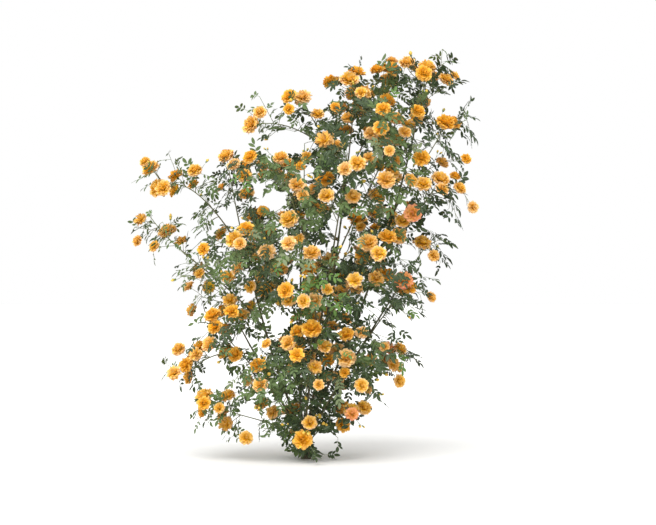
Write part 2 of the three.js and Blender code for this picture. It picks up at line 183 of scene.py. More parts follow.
# Main canes spring from the stem at a bearing in degrees, and side canes leave a main cane. Foot sprays
# spring from the stem without a cane
MAIN_CANES = {
    "left": dict(at=0.5, spring=205, tip=(-470, -40, 930), spread=180, bend=0.1),
    "upper_left": dict(at=0.72, spring=160, tip=(-370, 20, 1400), spread=180, bend=0.6),
    "back": dict(at=0.82, spring=112, tip=(-10, 240, 1480), spread=250, bend=0.6),
    "front": dict(at=0.62, spring=270, tip=(190, -250, 1430), spread=230, bend=0.5),
    "top": dict(at=0.6, spring=68, tip=(235, 20, 1790), spread=185, bend=0.9),
    "right": dict(at=0.8, spring=12, tip=(560, 10, 1812), spread=215, bend=1.2),
    "low_right": dict(at=0.5, spring=335, tip=(610, 60, 1060), spread=165, bend=-0.1),
}
SIDE_CANES = {
    "far_left": dict(parent="upper_left", at=0.96, tip=(-680, -40, 1255), spread=160, bend=-1.1),
    "left_hook": dict(parent="upper_left", at=0.55, tip=(-725, 0, 1125), spread=140, bend=0.3),
    "left_hanging": dict(parent="left", at=0.85, tip=(-545, 40, 375), spread=150, bend=-2),
    "left_skirt": dict(parent="left", at=0.38, tip=(-420, -165, 665), spread=195, bend=0.3),
    "left_shoulder": dict(parent="top", at=0.97, tip=(-250, -40, 1545), spread=125, bend=-0.7),
    "top_left": dict(parent="top", at=0.93, tip=(-12, -60, 1668), spread=140, bend=0.4),
    "right_shoulder": dict(parent="right", at=0.8, tip=(640, -105, 1548), spread=200, bend=0.3),
    "right_middle": dict(parent="right", at=0.6, tip=(615, -130, 1285), spread=195, bend=0.1),
    "right_lower": dict(parent="low_right", at=0.66, tip=(470, -110, 795), spread=155, bend=-0.2),
    "right_skirt": dict(parent="low_right", at=0.34, tip=(435, 10, 505), spread=145, bend=-0.2),
    "front_left": dict(parent="front", at=0.66, tip=(-110, -250, 1380), spread=230, bend=0.6),
    "front_right": dict(parent="front", at=0.78, tip=(410, -210, 1560), spread=230, bend=0.7),
    "front_middle_left": dict(parent="front", at=0.42, tip=(-270, -230, 1060), spread=230, bend=0.5),
    "front_middle": dict(parent="front", at=0.46, tip=(30, -350, 950), spread=230, bend=0.4),
    "front_middle_right": dict(parent="front", at=0.52, tip=(370, -230, 1020), spread=230, bend=0.3),
    "back_right": dict(parent="back", at=0.7, tip=(400, 120, 1815), spread=205, bend=0.6),
    "back_middle_left": dict(parent="back", at=0.5, tip=(-240, 230, 1130), spread=250, bend=0.5),
    "back_middle_right": dict(parent="back", at=0.42, tip=(250, 250, 1100), spread=250, bend=0.5),
    "back_low": dict(parent="back", at=0.15, tip=(40, 270, 640), spread=260, bend=0.4),
}
FOOT_SPRAYS = {
    "foot_left": dict(at=0.3, tip=(-465, -60, 285), spread=150, bend=0.3),
    "foot_front": dict(at=0.26, tip=(20, -235, 185), spread=175, bend=-0.3),
    "foot_right": dict(at=0.3, tip=(265, -90, 240), spread=175, bend=-0.3),
    "foot_back": dict(at=0.6, tip=(60, 250, 330), spread=230, bend=0.2),
    "low_left": dict(at=0.42, spring=228, tip=(-215, -200, 440), spread=210, bend=0.2),
    "low_front": dict(at=0.46, spring=250, tip=(30, -320, 610), spread=220, bend=0.5),
    "low_front_right": dict(at=0.42, spring=304, tip=(255, -220, 590), spread=215, bend=0.4),
}

# Open places where the sky shows through the whole plant, as ovals seen from the front: middle, half size
SKY_GAPS = (
    (-640, 1160, 85, 42),
    (-540, 1190, 55, 46),
    (-642, 935, 46, 46),
    (-452, 1362, 38, 34),
    (-360, 1116, 75, 34),
    (-300, 1535, 36, 22),
    (-78, 1472, 110, 44),
    (-138, 1202, 42, 42),
    (62, 1673, 40, 38),
    (137, 1800, 36, 26),
    (158, 1080, 50, 42),
    (630, 1660, 62, 34),
    (600, 1440, 36, 28),
    (700, 1463, 34, 24),
    (600, 1105, 46, 30),
    (479, 952, 40, 34),
    (562, 895, 30, 56),
    (310, 753, 44, 18),
    (432, 647, 50, 20),
    (354, 602, 36, 26),
    (367, 345, 38, 40),
    (221, 1428, 32, 25),
    (10, 1325, 27, 28),
    (181, 976, 25, 36),
    (-48, 853, 29, 33),
    (-264, 760, 31, 20),
    (-130, 625, 26, 36),
    (-495, 596, 32, 26),
    (-292, 540, 38, 32),
    (-425, 400, 46, 84),
    (-266, 200, 46, 54),
    (-165, 50, 50, 50),
    (88, 80, 50, 40),
    (460, 30, 300, 165),
    (-420, 5, 280, 80),
)

# For fine growth the edge of an open place swings in and out by these shares of its size, so often round it
GAP_SWINGS = ((0.2, 3), (0.14, 7))

# Limbs in life: radius at foot and tip and steps along a spray's stem, a main twig and a fine twig
SPRAY_STEM = (3.6, 1.7, 14)
MAIN_TWIG = (2.1, 1.5, 6)
FINE_TWIG = (1.35, 0.95, 5)
TWIG_SIDES = 5
STALK_SIDES = 3

# Steps along the stem and length of a step along a cane, and ridges in a metre: about 6.7 and 3 mm apart
STEM_STEPS = 55
STEM_RELIEF = 2.5
STEM_RIDGES = 150.0
CANE_STEP = 6
CANE_STEPS_LEAST = 6
CANE_RIDGES = 330.0
RIDGE_STRETCH = (1.0, 1.0, 0.16)

# Canes are a little slimmer than their solids, and swell at old leaf scars
CANE_SLIM = 0.92
SCAR_HEIGHT = 0.9
SCAR_SPACING = 68
SCAR_OFFSET = 30
SCAR_HALF = 4.5

# The rule carried on to fine twigs, inside the same reach
FINE_SEED = 977
LEAFLET_SEED = FINE_SEED * 3
PRICKLE_SEED = FINE_SEED * 7
FINE_SLACK = 46
FINE_OVERREACH = 26
FINE_GIRTH = 1
FINE_SPACING = 46
FINE_TWIG_SPACING = 62
FINE_FIRST = 0.4
FINE_TURN = 0.5
FINE_WANDER = 2
FINE_SPLAY = math.radians(56)
FINE_LIFTS = (-0.1, 0.4)
FINE_SWEEPS = (-0.3, 0.3)
FINE_LENGTHS = (62, 165)
FINE_SHORTNESS = 1.4
FINE_HANDLES = (0.4, 0.3)
FINE_TRIES = (1, 0.72, 0.5)
FINE_SHORTEST = 34
FINE_CHECKS = (0.35, 0.7, 1)
FINE_BLOOM_SHARE = 0.41
FINE_BUD_SHARE = 0.46
FINE_BLOOM_SIZES = (0.6, 1.0)

# Twigs that reach out from anywhere on the main twigs for the empty places of a spray
ROOT_SPACING = 30
ROOT_FROM = 0.05
ROOTS_LEAST = 2
REACH_TRIES = 130
REACH_MOST = 190
REACH_LIFT = 0.4
REACH_HANDLES = (0.35, 0.3)
REACH_CHECKS = (0.5, 0.8)
REACH_BLOOM_SHARE = 0.42
EMPTY_ROOM = 70

# Room that blooms keep, by shares of their radius
HEAD_GIRTH = 0.92
HEAD_OVERLAP = 0.8
HEAD_IN_GAP = 0.7

# Leaves along a twig: of n leaves, number k stands at (k + NODE_FIRST) / (n + NODE_REST) of the twig
NODE_SPACING = 23
NODE_FIRST = 0.7
NODE_REST = 0.2
NODE_WANDER = 1.2
NODE_TAPER = 0.2
NODE_LEAF_SIZES = (0.5, 0.82)
NODE_LEAF_APART = 41
FINE_LEAF_GIRTH = 2

# Buds at the end of a twig, one or two, each with its own splay
BUD_SPLAYS = (0.25, 0.75)
BUD_LIFT = 0.25
BUD_STALKS = (14, 30)
BUD_STALK_RADII = (0.9, 0.8, 0.9)
BUD_SIZES = (0.6, 1.15)
BUD_ROOM = 24

# How far fine growth may stand proud of the solids' box
PROUD = 6

# Leaves in life: a bare stalk, then pairs of leaflets and one at the end, by shares of the stalk's length
RACHIS_SHARE = 0.64
RACHIS_SAG = 0.12
RACHIS_POINTS = 5
RACHIS_RADII = (1.0, 0.55)
RACHIS_END_FROM = 0.75
PAIRS_OF_FIVE = (0.46, 0.8)
PAIRS_OF_SEVEN = (0.36, 0.6, 0.84)
SEVEN_SHARE = 0.35
SEVEN_FROM = 0.9
LEAFLET_SPLAY = math.radians(58)
LEAFLET_SHARES = (0.74, 0.94)
LEAFLET_SIZES = (0.88, 1.08)
LEAFLET_ODD_SIZES = (0.85, 1.1)
LEAFLET_TOSS = 0.32
LEAFLET_TILT = 0.64
LEAFLET_SAG = 0.1
LEAFLET_HALF = 0.2
LEAFLETS_LEAST = 3
LEAFLET_SUNK = 5

# Leaflets are this much larger than most on the plant's right, and smaller on its left
RIGHT_GAIN = 0.12

# A twig ends where the last thing that it carries springs, and is left out if that is before this share
BARE_SHARE = 0.08

# What springs within this gap of a twig counts as carried by it, tried at steps along it
CARRY_STEP = 3
CARRY_STEPS_LEAST = 8
CARRY_GAP = 2.5

# Leaf tint of each spray that differs from the deep green of the rest
SPRAY_TINTS = {
    "far_left": "middle",
    "left_hook": "middle",
    "left_hanging": "middle",
    "left_shoulder": "middle",
    "front_left": "middle",
    "front_middle": "fresh",
    "front_right": "middle",
    "low_left": "middle",
    "foot_left": "middle",
    "left": "grey",
    "back_middle_left": "grey",
    "back_right": "middle",
}

# This share of twigs has its spray's own tint, and the rest have one by these running shares
TINT_SHARE = 0.55
TINT_ODDS = {"deep": 0.45, "middle": 0.82, "grey": 0.92, "fresh": 1}

# Petal tints by running share of blooms. On some sprays at the right, one large bloom near the front is
# flushed with pink, where a millimetre nearer counts as this much of a millimetre of radius
PETAL_ODDS = {"golden": 0.43, "apricot": 0.65, "pale": 0.74, "deep": 0.97, "spent": 1}
PINK_SPRAYS = ("right_middle", "right_lower", "right_skirt", "foot_right")
NEARNESS = 0.1

# Forms of bloom: number of petals, lean of the outermost in degrees, and how wavy and disordered they are
BLOOM_KINDS = dict(
    full=dict(petals=118, lean=130, ruffle=0.11, muddle=0.28),
    loose=dict(petals=98, lean=124, ruffle=0.13, muddle=0.36),
    packed=dict(petals=132, lean=134, ruffle=0.1, muddle=0.24),
    half_open=dict(petals=78, lean=96, ruffle=0.09, muddle=0.22),
    spent=dict(petals=58, lean=138, ruffle=0.15, muddle=0.44),
)
KIND_NAMES = tuple(BLOOM_KINDS)
BLOOM_SEED = 31

# Blooms that are not spent have one of these forms, the last of them less often than the rest
FRESH_KINDS = ("full", "loose", "packed", "half_open")
FRESH_ODDS = 3.6

# Blooms turn this far to the light
LIGHT_TURN = 0.8

# How petals stand in a bloom of unit radius: the first lean in over the heart by degrees, the last lean out
HEART_LEAN = 22
OPENING = 0.56
PETAL_FIRST = 0.6
LEAN_MUDDLE = 1.4
TURN_MUDDLE = 3
PETAL_TWIST = 0.7
TWIST_LIFT = 0.8
PETAL_WIDTH = 0.16
PETAL_WIDENING = 0.14
PETAL_WIDTHS = (0.85, 1.2)

# One petal, row by row from its foot: where each row lies, how wide it is, how far its corners fall back
PETAL_ALONG = (0.0, 0.6, 1.0)
PETAL_GIRTHS = (0.4, 1.08, 1.0)
PETAL_CORNERS = (0.0, 0.02, 0.24)
PETAL_ACROSS = (-1.0, -0.42, 0.42, 1.0)
PETAL_FOOT = (0.03, -0.08)
TIP_RISE = 0.3
TIP_SWING = 0.62
BELLY_AT = 0.55
BELLY_DEPTH = 0.2
CURL_DEPTH = 0.16
CURL_FROM = 0.55
CURL_RUN = 0.45
CURL_MOST = 1.2
HOLLOW_DEPTH = 0.42
HOLLOW_LOST = 0.1
FRILLS = 2.2
FRILL_TURN = 6.3

# On the shared map a bloom's petals lie in strips, from the heart out, with a margin round each petal
PETAL_STRIPS = 8
STRIP_MARGIN = 0.1
FOOT_MARGIN = 0.01

# A leaflet of unit length: where each row lies and its share of the width, and four ways that leaflets lie
LEAFLET_ROWS = ((0.1, 0.4), (0.3, 0.88), (0.52, 1.0), (0.73, 0.8), (0.9, 0.4))
LEAFLET_SHAPES = dict(
    flat=dict(fold=0.22, arch=0.08, wave=0.004, broad=1),
    folded=dict(fold=0.5, arch=0.12, wave=0.006, broad=0.94),
    arched=dict(fold=0.32, arch=0.2, wave=0.008, broad=1.04),
    wavy=dict(fold=0.14, arch=-0.05, wave=0.02, broad=1),
)

# The cup behind a bloom of unit radius or round the foot of a bud, as radii and heights, and its sepals
CUP_PROFILE = ((0.05, -0.44), (0.12, -0.38), (0.17, -0.26), (0.12, -0.15))
CUP_SIDES = 7
SEPALS = 5
SEPAL_ROWS = ((0, 0.09), (0.45, 0.11), (0.8, 0.06), (1.0, 0.012))
SEPAL_FOOT = (0.1, -0.17)
CUP_SHAPES = dict(
    open=dict(cup=1.0, reach=0.55, spread=0.8, droop=0.25),
    shut=dict(cup=2.0, reach=0.95, spread=0.26, droop=0),
)

# A bud of unit length, as radii and heights; its petals wind round it
BUD_PROFILE = (
    (0.1, -0.05),
    (0.26, 0.12),
    (0.34, 0.34),
    (0.3, 0.58),
    (0.2, 0.8),
    (0.08, 0.96),
    (0.015, 1.0),
)
BUD_SIDES = 9
BUD_FOLDS = 3
BUD_FOLD_HEIGHT = 0.16
BUD_WIND = 5
BUD_SHAPES = dict(slim=dict(girth=1.0, lean=0.06), full=dict(girth=1.3, lean=-0.05))

# Which shape a bud has goes by its roll, counted in tenths
ROLL_TENTHS = 10

# A prickle of unit height, as heights and girths, narrow across the cane and long along it
PRICKLE_ROWS = ((-0.1, 0.5), (0.3, 0.28), (0.7, 0.12))
PRICKLE_SIDES = 5
PRICKLE_ACROSS = 0.45
PRICKLE_ALONG = 1.2
PRICKLE_HOOKS = (0.35, 0.6)
PRICKLE_SIZES = (0.6, 1.1)
PRICKLE_SEAT = 0.9
PRICKLES_FROM = 0.08
PRICKLES_TO = 0.97

# Most of a noise lies in this range
NOISE_RANGE = (0.3, 0.7)

# Leaf finish: midrib and side veins, by half width on the map and by strength, and patches of shade
RIB_HALF = 0.07
RIB_STRENGTH = 0.6
VEIN_PAIRS = 7
VEIN_SLANT = -0.5
VEIN_HALF = 0.022
VEIN_STRENGTH = 0.18
VEIN_BUMP = 0.25
VEIN_HEIGHT = 0.0008
LEAF_PATCHES = 5.0
LEAF_SHADES = (0.8, 1.2)
LEAF_ROUGHNESS = 0.42
LEAF_SPECULAR = 0.22

# Petal finish: where the heart's colour fades out, where the edge's sets in, and how much more of it
# the outer petals show. The deep heart is partly the petal's own colour and partly painted shade deep in
# the bloom; the pale edge, wider on outer petals, is partly its own colour and partly painted light on the
# bloom's lit outside
HEART_AND_SHADE_FADE = (0.1, 0.72, 0.0, 1.0)
EDGE_AND_LIGHT_FADE = (0.66, 0.98, 0.0, 1.0)
OUTER_AND_LIGHT_FADE = (0.1, 0.75, 0.35, 1.0)
PETAL_STREAKS = (90.0, 2.5, 1.0)
PETAL_SHADES = (0.92, 1.06)
PETAL_ROUGHNESS = 0.62
PETAL_SPECULAR = 0.2

# Finish of soft growth: flecks along it, and how rough twigs, stalks, and buds, sepals and horn are
FLECKS = 14.0
FLECK_SHADES = (0.78, 1.18)
TWIG_ROUGHNESS = 0.6
STALK_ROUGHNESS = 0.55
SMOOTH_ROUGHNESS = 0.5

# Bark finish: how high above the ground young bark sets in, how ragged its edge is, and cracks in a metre
YOUNG_BARK = (0.4, 1.05, 0.0, 1.0)
BARK_PATCHES = 9.0
BARK_RAGGED = 0.7
BARK_CRACKS = (330.0, 330.0, 42.0)
CRACK_SHADE = (0.36, 0.56, 0.75, 0.0)
CRACK_BUMP = 0.5
CRACK_HEIGHT = 0.001
BARK_ROUGHNESS = 0.78


def linear(hex_colour):
    """An sRGB hex colour as linear red, green and blue."""
    parts = [int(hex_colour[i : i + 2], 16) / 255 for i in (1, 3, 5)]
    return tuple(c / 12.92 if c <= 0.04045 else ((c + 0.055) / 1.055) ** 2.4 for c in parts)


def length(name, description, default):
    """A length that a user may change, in metres."""
    return FloatProperty(
        name=name, description=description, default=default, min=0, unit="LENGTH", precision=4
    )


def colour(name, description, hex_colour):
    """A colour that a user may change."""
    return FloatVectorProperty(
        name=name,
        description=description,
        subtype="COLOR",
        size=3,
        min=0,
        max=1,
        default=linear(hex_colour),
    )


class RoseSizes(PropertyGroup):
    """Sizes of the rose's small parts."""

    leaflet_length: length("Leaflet length", "Length of a full end leaflet", 0.043)
    leaflet_width: length("Leaflet width", "Width of a full end leaflet", 0.0196)
    bud_length: length("Bud length", "Length of a bud that shows colour", 0.018)
    prickle_length: length("Prickle length", "How far a prickle stands off its cane", 0.0075)
    prickle_spacing: length("Prickle spacing", "Distance between prickles along a cane", 0.021)
    bark_relief: length("Bark relief", "Height of the ridges in old bark", 0.0016)
    cane_sides: IntProperty(name="Cane sides", description="Faces round each cane", default=12, min=3)
    stem_sides: IntProperty(name="Stem sides", description="Faces round the stem", default=36, min=3)


class RoseColours(PropertyGroup):
    """Colours of bark, leaf and petal."""

    bark_old: colour("Old bark", "Bark at the foot of the plant", "#6f6350")
    bark_young: colour("Young bark", "Bark of the upper canes", "#555a36")
    bark_crack: colour("Bark crack", "Depth of the cracks in bark", "#2c2a1c")
    twig_foot: colour("Twig foot", "Ripe wood at the foot of a twig", "#5c5236")
    twig_tip: colour("Twig tip", "Soft green end of a twig", "#6d7a42")
    prickle: colour("Prickle", "Red-brown foot of the prickles", "#7d4a33")
    prickle_point: colour("Prickle point", "Pale horn of a prickle's point", "#b98b62")
    leaf_deep: colour("Deep leaf", "Shaded, full-grown leaf", "#334229")
    leaf_middle: colour("Middle leaf", "Ordinary leaf", "#566a3c")
    leaf_grey: colour("Grey leaf", "Leaf with a bloom that catches the sky", "#74805c")
    leaf_fresh: colour("Fresh leaf", "Young leaf", "#5a7a38")
    leaf_vein: colour("Leaf vein", "Midrib and side veins", "#84966a")
    sepal: colour("Sepal", "Cup and sepals behind a bloom", "#76893f")
    # The heart colour is partly painted shade deep in a bloom, and the paler edges of golden, apricot, pale
    # and deep blooms are partly painted light, besides the petals' own colours
    petal_heart: colour("Petal heart", "Foot of every petal", "#fdd02a")
    petal_golden: colour("Golden petal", "Most blooms", "#fdcf46")
    petal_golden_edge: colour("Golden edge", "Petal edge of most blooms", "#fedbb4")
    petal_apricot: colour("Apricot petal", "Softer blooms", "#fdcf62")
    petal_apricot_edge: colour("Apricot edge", "Petal edge of softer blooms", "#fed7ac")
    petal_pale: colour("Pale petal", "Older, bleached blooms", "#fdd27c")
    petal_pale_edge: colour("Pale edge", "Petal edge of bleached blooms", "#fee0ba")
    petal_deep: colour("Deep petal", "Fresh, strong blooms", "#fcc436")
    petal_deep_edge: colour("Deep edge", "Petal edge of fresh blooms", "#fccd7a")
    petal_pink: colour("Flushed petal", "Blooms flushed by the sun", "#fdc474")
    petal_pink_edge: colour("Flushed edge", "Petal edge of flushed blooms", "#fca894")
    petal_spent: colour("Spent petal", "Fading blooms", "#e3b25e")
    petal_spent_edge: colour("Spent edge", "Browned petal edge", "#d0a672")
    bud: colour("Bud", "Furled petals of a bud", "#f9bd4c")
    bud_young: colour("Young bud", "Tight, greenish bud", "#d9cc5a")
    floor: colour("Floor", "Plain pale floor", "#f2f2f0")


def seeded(seed):
    """A repeatable stream of numbers from 0 to 1 by the mulberry32 rule, the same as the source's."""
    state = seed & WORD

    def draw():
        nonlocal state
        state = (state + 0x6D2B79F5) & WORD
        mixed = (state ^ state >> 15) * (1 | state) & WORD
        mixed = (mixed + (mixed ^ mixed >> 7) * (61 | mixed) & WORD) ^ mixed
        return (mixed ^ mixed >> 14) / (WORD + 1)

    return draw


def pick(odds, choice):
    """The first name whose running share is past a number from 0 to 1."""
    return next(name for name, most in odds.items() if choice < most)


def between(ends, share):
    """The value or place at a share of the way between two."""
    return ends[0] + (ends[1] - ends[0]) * share


def unit(vector):
    """A vector brought to unit length."""
    return vector / np.linalg.norm(vector)


def turned(vector, axis, angle):
    """A vector turned about a unit axis."""
    aside = np.cross(axis, vector)
    along = axis * axis.dot(vector) * (1 - math.cos(angle))
    return vector * math.cos(angle) + aside * math.sin(angle) + along


def sideways(along, angle):
    """A unit vector square to another, turned about it by an angle."""
    helper = UP if abs(along[2]) < STEEP else ALONG_X
    return turned(unit(np.cross(along, helper)), along, angle)


def out_of_crown(place):
    """The way out of the flattened crown at a place."""
    return unit(np.array([place[0] / CROWN_WIDTH**2, place[1] / CROWN_DEPTH**2, LEAST_RISE]))


def turn_up_to(facing):
    """The shortest turn that takes up to a facing."""
    x, y, z = np.cross(UP, facing)
    skew = np.array([[0, -z, y], [z, 0, -x], [-y, x, 0]])
    return np.eye(3) + skew + skew @ skew / (1 + facing[2])


def facing_ways(facing, roll):
    """The three ways of a bloom or bud that faces one way and is rolled about it."""
    x = sideways(facing, roll)
    return (x, np.cross(facing, x), facing)


class Bow:
    """A bowed line by four corners, walked by shares of its length."""

    # where the curve is measured, and how far off its way is looked for on both sides
    STEPS = np.linspace(0, 1, 201)
    NUDGE = 1e-3

    def __init__(self, *corners, first=0.0, last=1.0):
        self.corners = np.array(corners, float)
        self.first, self.last = first, last
        runs = np.linalg.norm(np.diff(self.walk(self.STEPS), axis=0), axis=1)
        self.shares = np.concatenate([[0], np.cumsum(runs)]) / runs.sum()
        self.whole = runs.sum()
        self.length = self.whole * (last - first)

    def walk(self, step):
        """The place at a step of the curve itself."""
        step = np.asarray(step, float)[..., None]
        a, b, c, d = self.corners
        rest = 1 - step
        return a * rest**3 + 3 * b * rest**2 * step + 3 * c * rest * step**2 + d * step**3

    def at(self, share):
        """The place, or places, at a share of the length."""
        on = self.first + (self.last - self.first) * np.asarray(share, float)
        return self.walk(np.interp(on, self.shares, self.STEPS))

    def way(self, share):
        """The way that the line runs at a share of its length."""
        return unit(self.at(min(share + self.NUDGE, 1)) - self.at(max(share - self.NUDGE, 0)))

    def part(self, first, last):
        """A part of the whole line."""
        return Bow(*self.corners, first=first, last=last)


def bowed(start, end, run, leaving, arriving, handles):
    """A line that leaves its start one way and comes to its end another, by shares of its run."""
    return Bow(start, start + leaving * run * handles[0], end - arriving * run * handles[1], end)


class Limb:
    """The stem or a cane: its line and its radius by share of length."""

    def __init__(self, bow, radius_at):
        self.bow, self.radius_at = bow, radius_at
        self.line = bow.at(np.linspace(0, 1, CANE_LINE_STEPS + 1))

    def drawn(self, steps):
        """The shares, places and radii along the limb."""
        shares = np.linspace(0, 1, steps + 1)
        return shares, self.bow.at(shares), np.array([self.radius_at(share) for share in shares])


class Spray:
    """The leafy end of a shoot: its stem, how far its twigs reach, and the middles of what they carry."""

    def __init__(self, name, index, stem, spread):
        self.name, self.index, self.stem, self.spread = name, index, stem, spread
        self.line = stem.at(np.linspace(0, 1, SPRAY_LINE_STEPS + 1))
        self.tint = SPRAY_TINTS.get(name, "deep")
        self.middles, self.blooms = [], []

    def clear(self, place, gap):
        """True if no leaf or bloom of the spray has its middle within a gap of a place."""
        return all(np.linalg.norm(other - place) > gap for other in self.middles)


def stem_radius(share):
    """The stem's radius: a root flare, a taper, and a swelling where the canes leave it."""
    flare = FLARE_RADIUS * math.exp(-share * STEM_HEIGHT / FLARE_HEIGHT)
    rise = min(max((share - KNUCKLE_FROM) / (1 - KNUCKLE_FROM), 0), 1)
    return STEM_RADIUS + flare + KNUCKLE_RADIUS * math.sin(math.pi * rise) ** 2 - STEM_TAPER * share


def shoot_line(bearer, at, tip, bend, spring=None, **_):
    """The line of a shoot from its parent to its tip."""
    start, end = bearer.bow.at(at), np.array(tip, float)
    span = np.linalg.norm(end - start)
    ahead = (end - start) / span
    way = bearer.bow.way(at)
    leaving, handle = unit(way + (ahead - way) * LEAVING_TURN), LEAVING_HANDLE
    if spring is not None:
        bearing = math.radians(spring)
        leaving = unit(np.array([math.cos(bearing), math.sin(bearing), SPRING_RISE]))
        handle = SPRING_HANDLE
    return bowed(start, end, span, leaving, unit(ahead + UP * bend), (handle, ARRIVING_HANDLE))


class Skeleton:
    """The stem, the canes and the stems of the sprays, as the source sets them out."""

    def __init__(self):
        top = np.array([*STEM_LEAN, STEM_HEIGHT], float)
        bow = bowed(np.zeros(3), top, STEM_HEIGHT, UP, UP, (LEAVING_HANDLE, ARRIVING_HANDLE))
        self.limbs = {"stem": Limb(bow, stem_radius)}
        self.sprays = []
        for name, shoot in MAIN_CANES.items():
            self.add_shoot(name, shoot, "stem", MAIN_CANE_RADIUS)
        for name, shoot in SIDE_CANES.items():
            self.add_shoot(name, shoot, shoot["parent"], SIDE_CANE_RADIUS)
        for name, shoot in FOOT_SPRAYS.items():
            self.add_spray(name, shoot_line(self.limbs["stem"], **shoot), shoot["spread"])
        self.spray_lines = np.array([spray.line for spray in self.sprays])
        self.limb_lines = np.array([limb.line for limb in self.limbs.values()])
        self.limb_feet = np.array([limb.radius_at(0) for limb in self.limbs.values()])
        low, high = np.array(CAD_BOX) / MM
        self.low, self.high = low - PROUD, high + PROUD
        self.low[2] = GROUND_MARGIN

    def add_shoot(self, name, shoot, parent, foot):
        """Adds a shoot: a cane up to where it grows leafy, and a spray from there."""
        whole = shoot_line(self.limbs[parent], **shoot)
        split = 1 - min(SPRAY_REACH / whole.whole, SPRAY_MOST)
        tip = foot * CANE_TIP_SHARE
        self.limbs[name] = Limb(whole.part(0, split), lambda share: between((foot, tip), share))
        self.add_spray(name, whole.part(split, 1), shoot["spread"])

    def add_spray(self, name, stem, spread):
        """Adds a spray on its stem."""
        self.sprays.append(Spray(name, len(self.sprays), stem, spread))

    def canes(self):
        """Every limb but the stem."""
        return [limb for name, limb in self.limbs.items() if name != "stem"]

    def clear_of_limbs(self, places, girth):
        """True if every place is further than its girth from the stem and every cane."""
        return (distances(places, self.limb_lines) > self.limb_feet + CANE_MARGIN + girth).all()

    def inside(self, places):
        """True if every place lies within the plant's reach and above ground."""
        return ((places > self.low) & (places < self.high)).all()

    def fits(self, spray, places, girth, slack=0, overreach=0):
        """True if every place lies in the spray's own room, or at most `slack` into its neighbours'."""
        if (places[:, 2] < GROUND_MARGIN + girth).any() or not self.inside(places):
            return False
        if not slack and in_sky_gap(places):
            return False
        gaps = distances(places, self.spray_lines)
        own = gaps[:, spray.index]
        rivals = np.delete(gaps, spray.index, axis=1).min(axis=1)
        if (own > spray.spread + overreach).any() or (rivals < own + SPRAY_MARGIN - slack).any():
            return False
        return self.clear_of_limbs(places, girth)


def in_sky_gap(places, swings=()):
    """True if any place, as the viewer sees it, lies in an open place, whose edge may swing."""
    nearer = VIEW_FROM[1] / (VIEW_FROM[1] - places[:, 1:2])
    x = VIEW_FROM[0] + (places[:, 0:1] - VIEW_FROM[0]) * nearer
    z = VIEW_FROM[2] + (places[:, 2:3] - VIEW_FROM[2]) * nearer
    gap_x, gap_z, wide, high = np.array(SKY_GAPS).T
    off_x, off_z = (x - gap_x) / wide, (z - gap_z) / high
    angle = np.arctan2(off_z, off_x)
    edge = 1 + sum(share * np.sin(times * angle + gap_x) for share, times in swings)
    return (np.hypot(off_x, off_z) < edge).any()


def distances(places, lines):
    """The nearest distance from each place to each line of points."""
    starts, runs = lines[:, :-1], np.diff(lines, axis=1)
    from_start = places[:, None, None] - starts
    shares = np.clip((from_start * runs).sum(-1) / (runs * runs).sum(-1), 0, 1)
    return np.linalg.norm(from_start - shares[..., None] * runs, axis=-1).min(-1)


class Leaf:
    """One leaf: out from its twig and drooping, its blade turned to the light."""

    def __init__(self, root, twig_way, side, size=1.0):
        self.root, self.size = root, size
        self.along = unit(side + twig_way * LEAF_FORWARD - UP * LEAF_DROOP)
        self.across = unit(np.cross(self.along, out_of_crown(root) * LEAF_OUT + UP))
        self.face = np.cross(self.across, self.along)
        self.reach = LEAF_LENGTH * size
        self.middle = root + self.along * self.reach / 2

    def on_stalk(self, run, share):
        """A place on the leaf's sagging stalk."""
        return self.root + self.along * run * share - UP * run * RACHIS_SAG * share**2

    def places(self):
        """Places spread over the leaf, but for its root."""
        spots = []
        for reach in LEAF_CHECKS:
            wide = reach / LEAF_WIDEST if reach < LEAF_WIDEST else (1 - reach) / (1 - LEAF_WIDEST)
            rib = self.root + self.along * self.reach * reach
            spots += [rib + self.across * side * wide * LEAF_WIDTH * self.size / 2 for side in (-1, 0, 1)]
        return np.array(spots)


class Bloom:
    """One bloom: on from its twig, out of the crown and up."""

    def __init__(self, seat, twig_way, radius):
        self.seat, self.radius = seat, radius
        self.face(out_of_crown(seat) * BLOOM_OUT + twig_way + UP * BLOOM_UP)

    def face(self, way):
        """Turns the bloom about its seat."""
        self.facing = unit(way)
        self.middle = self.seat + self.facing * self.radius * BLOOM_MIDDLE

    def corners(self):
        """The corners of the plain rosette that the source gives this bloom."""
        angles = np.arange(BLOOM_SIDES + 1) / BLOOM_SIDES * FULL_TURN
        ring = np.stack([-np.cos(angles), -np.sin(angles), 0 * angles], axis=1) * BLOOM_RING
        spots = [(0, 0, BLOOM_TOP), (0, 0, -BLOOM_SUNK)]
        spots = np.vstack([ring * BLOOM_FULL + UP * BLOOM_RIM, ring * BLOOM_WAIST, spots])
        spots[:, 0] += BLOOM_OFFSET
        return self.seat + spots * self.radius @ turn_up_to(self.facing).T


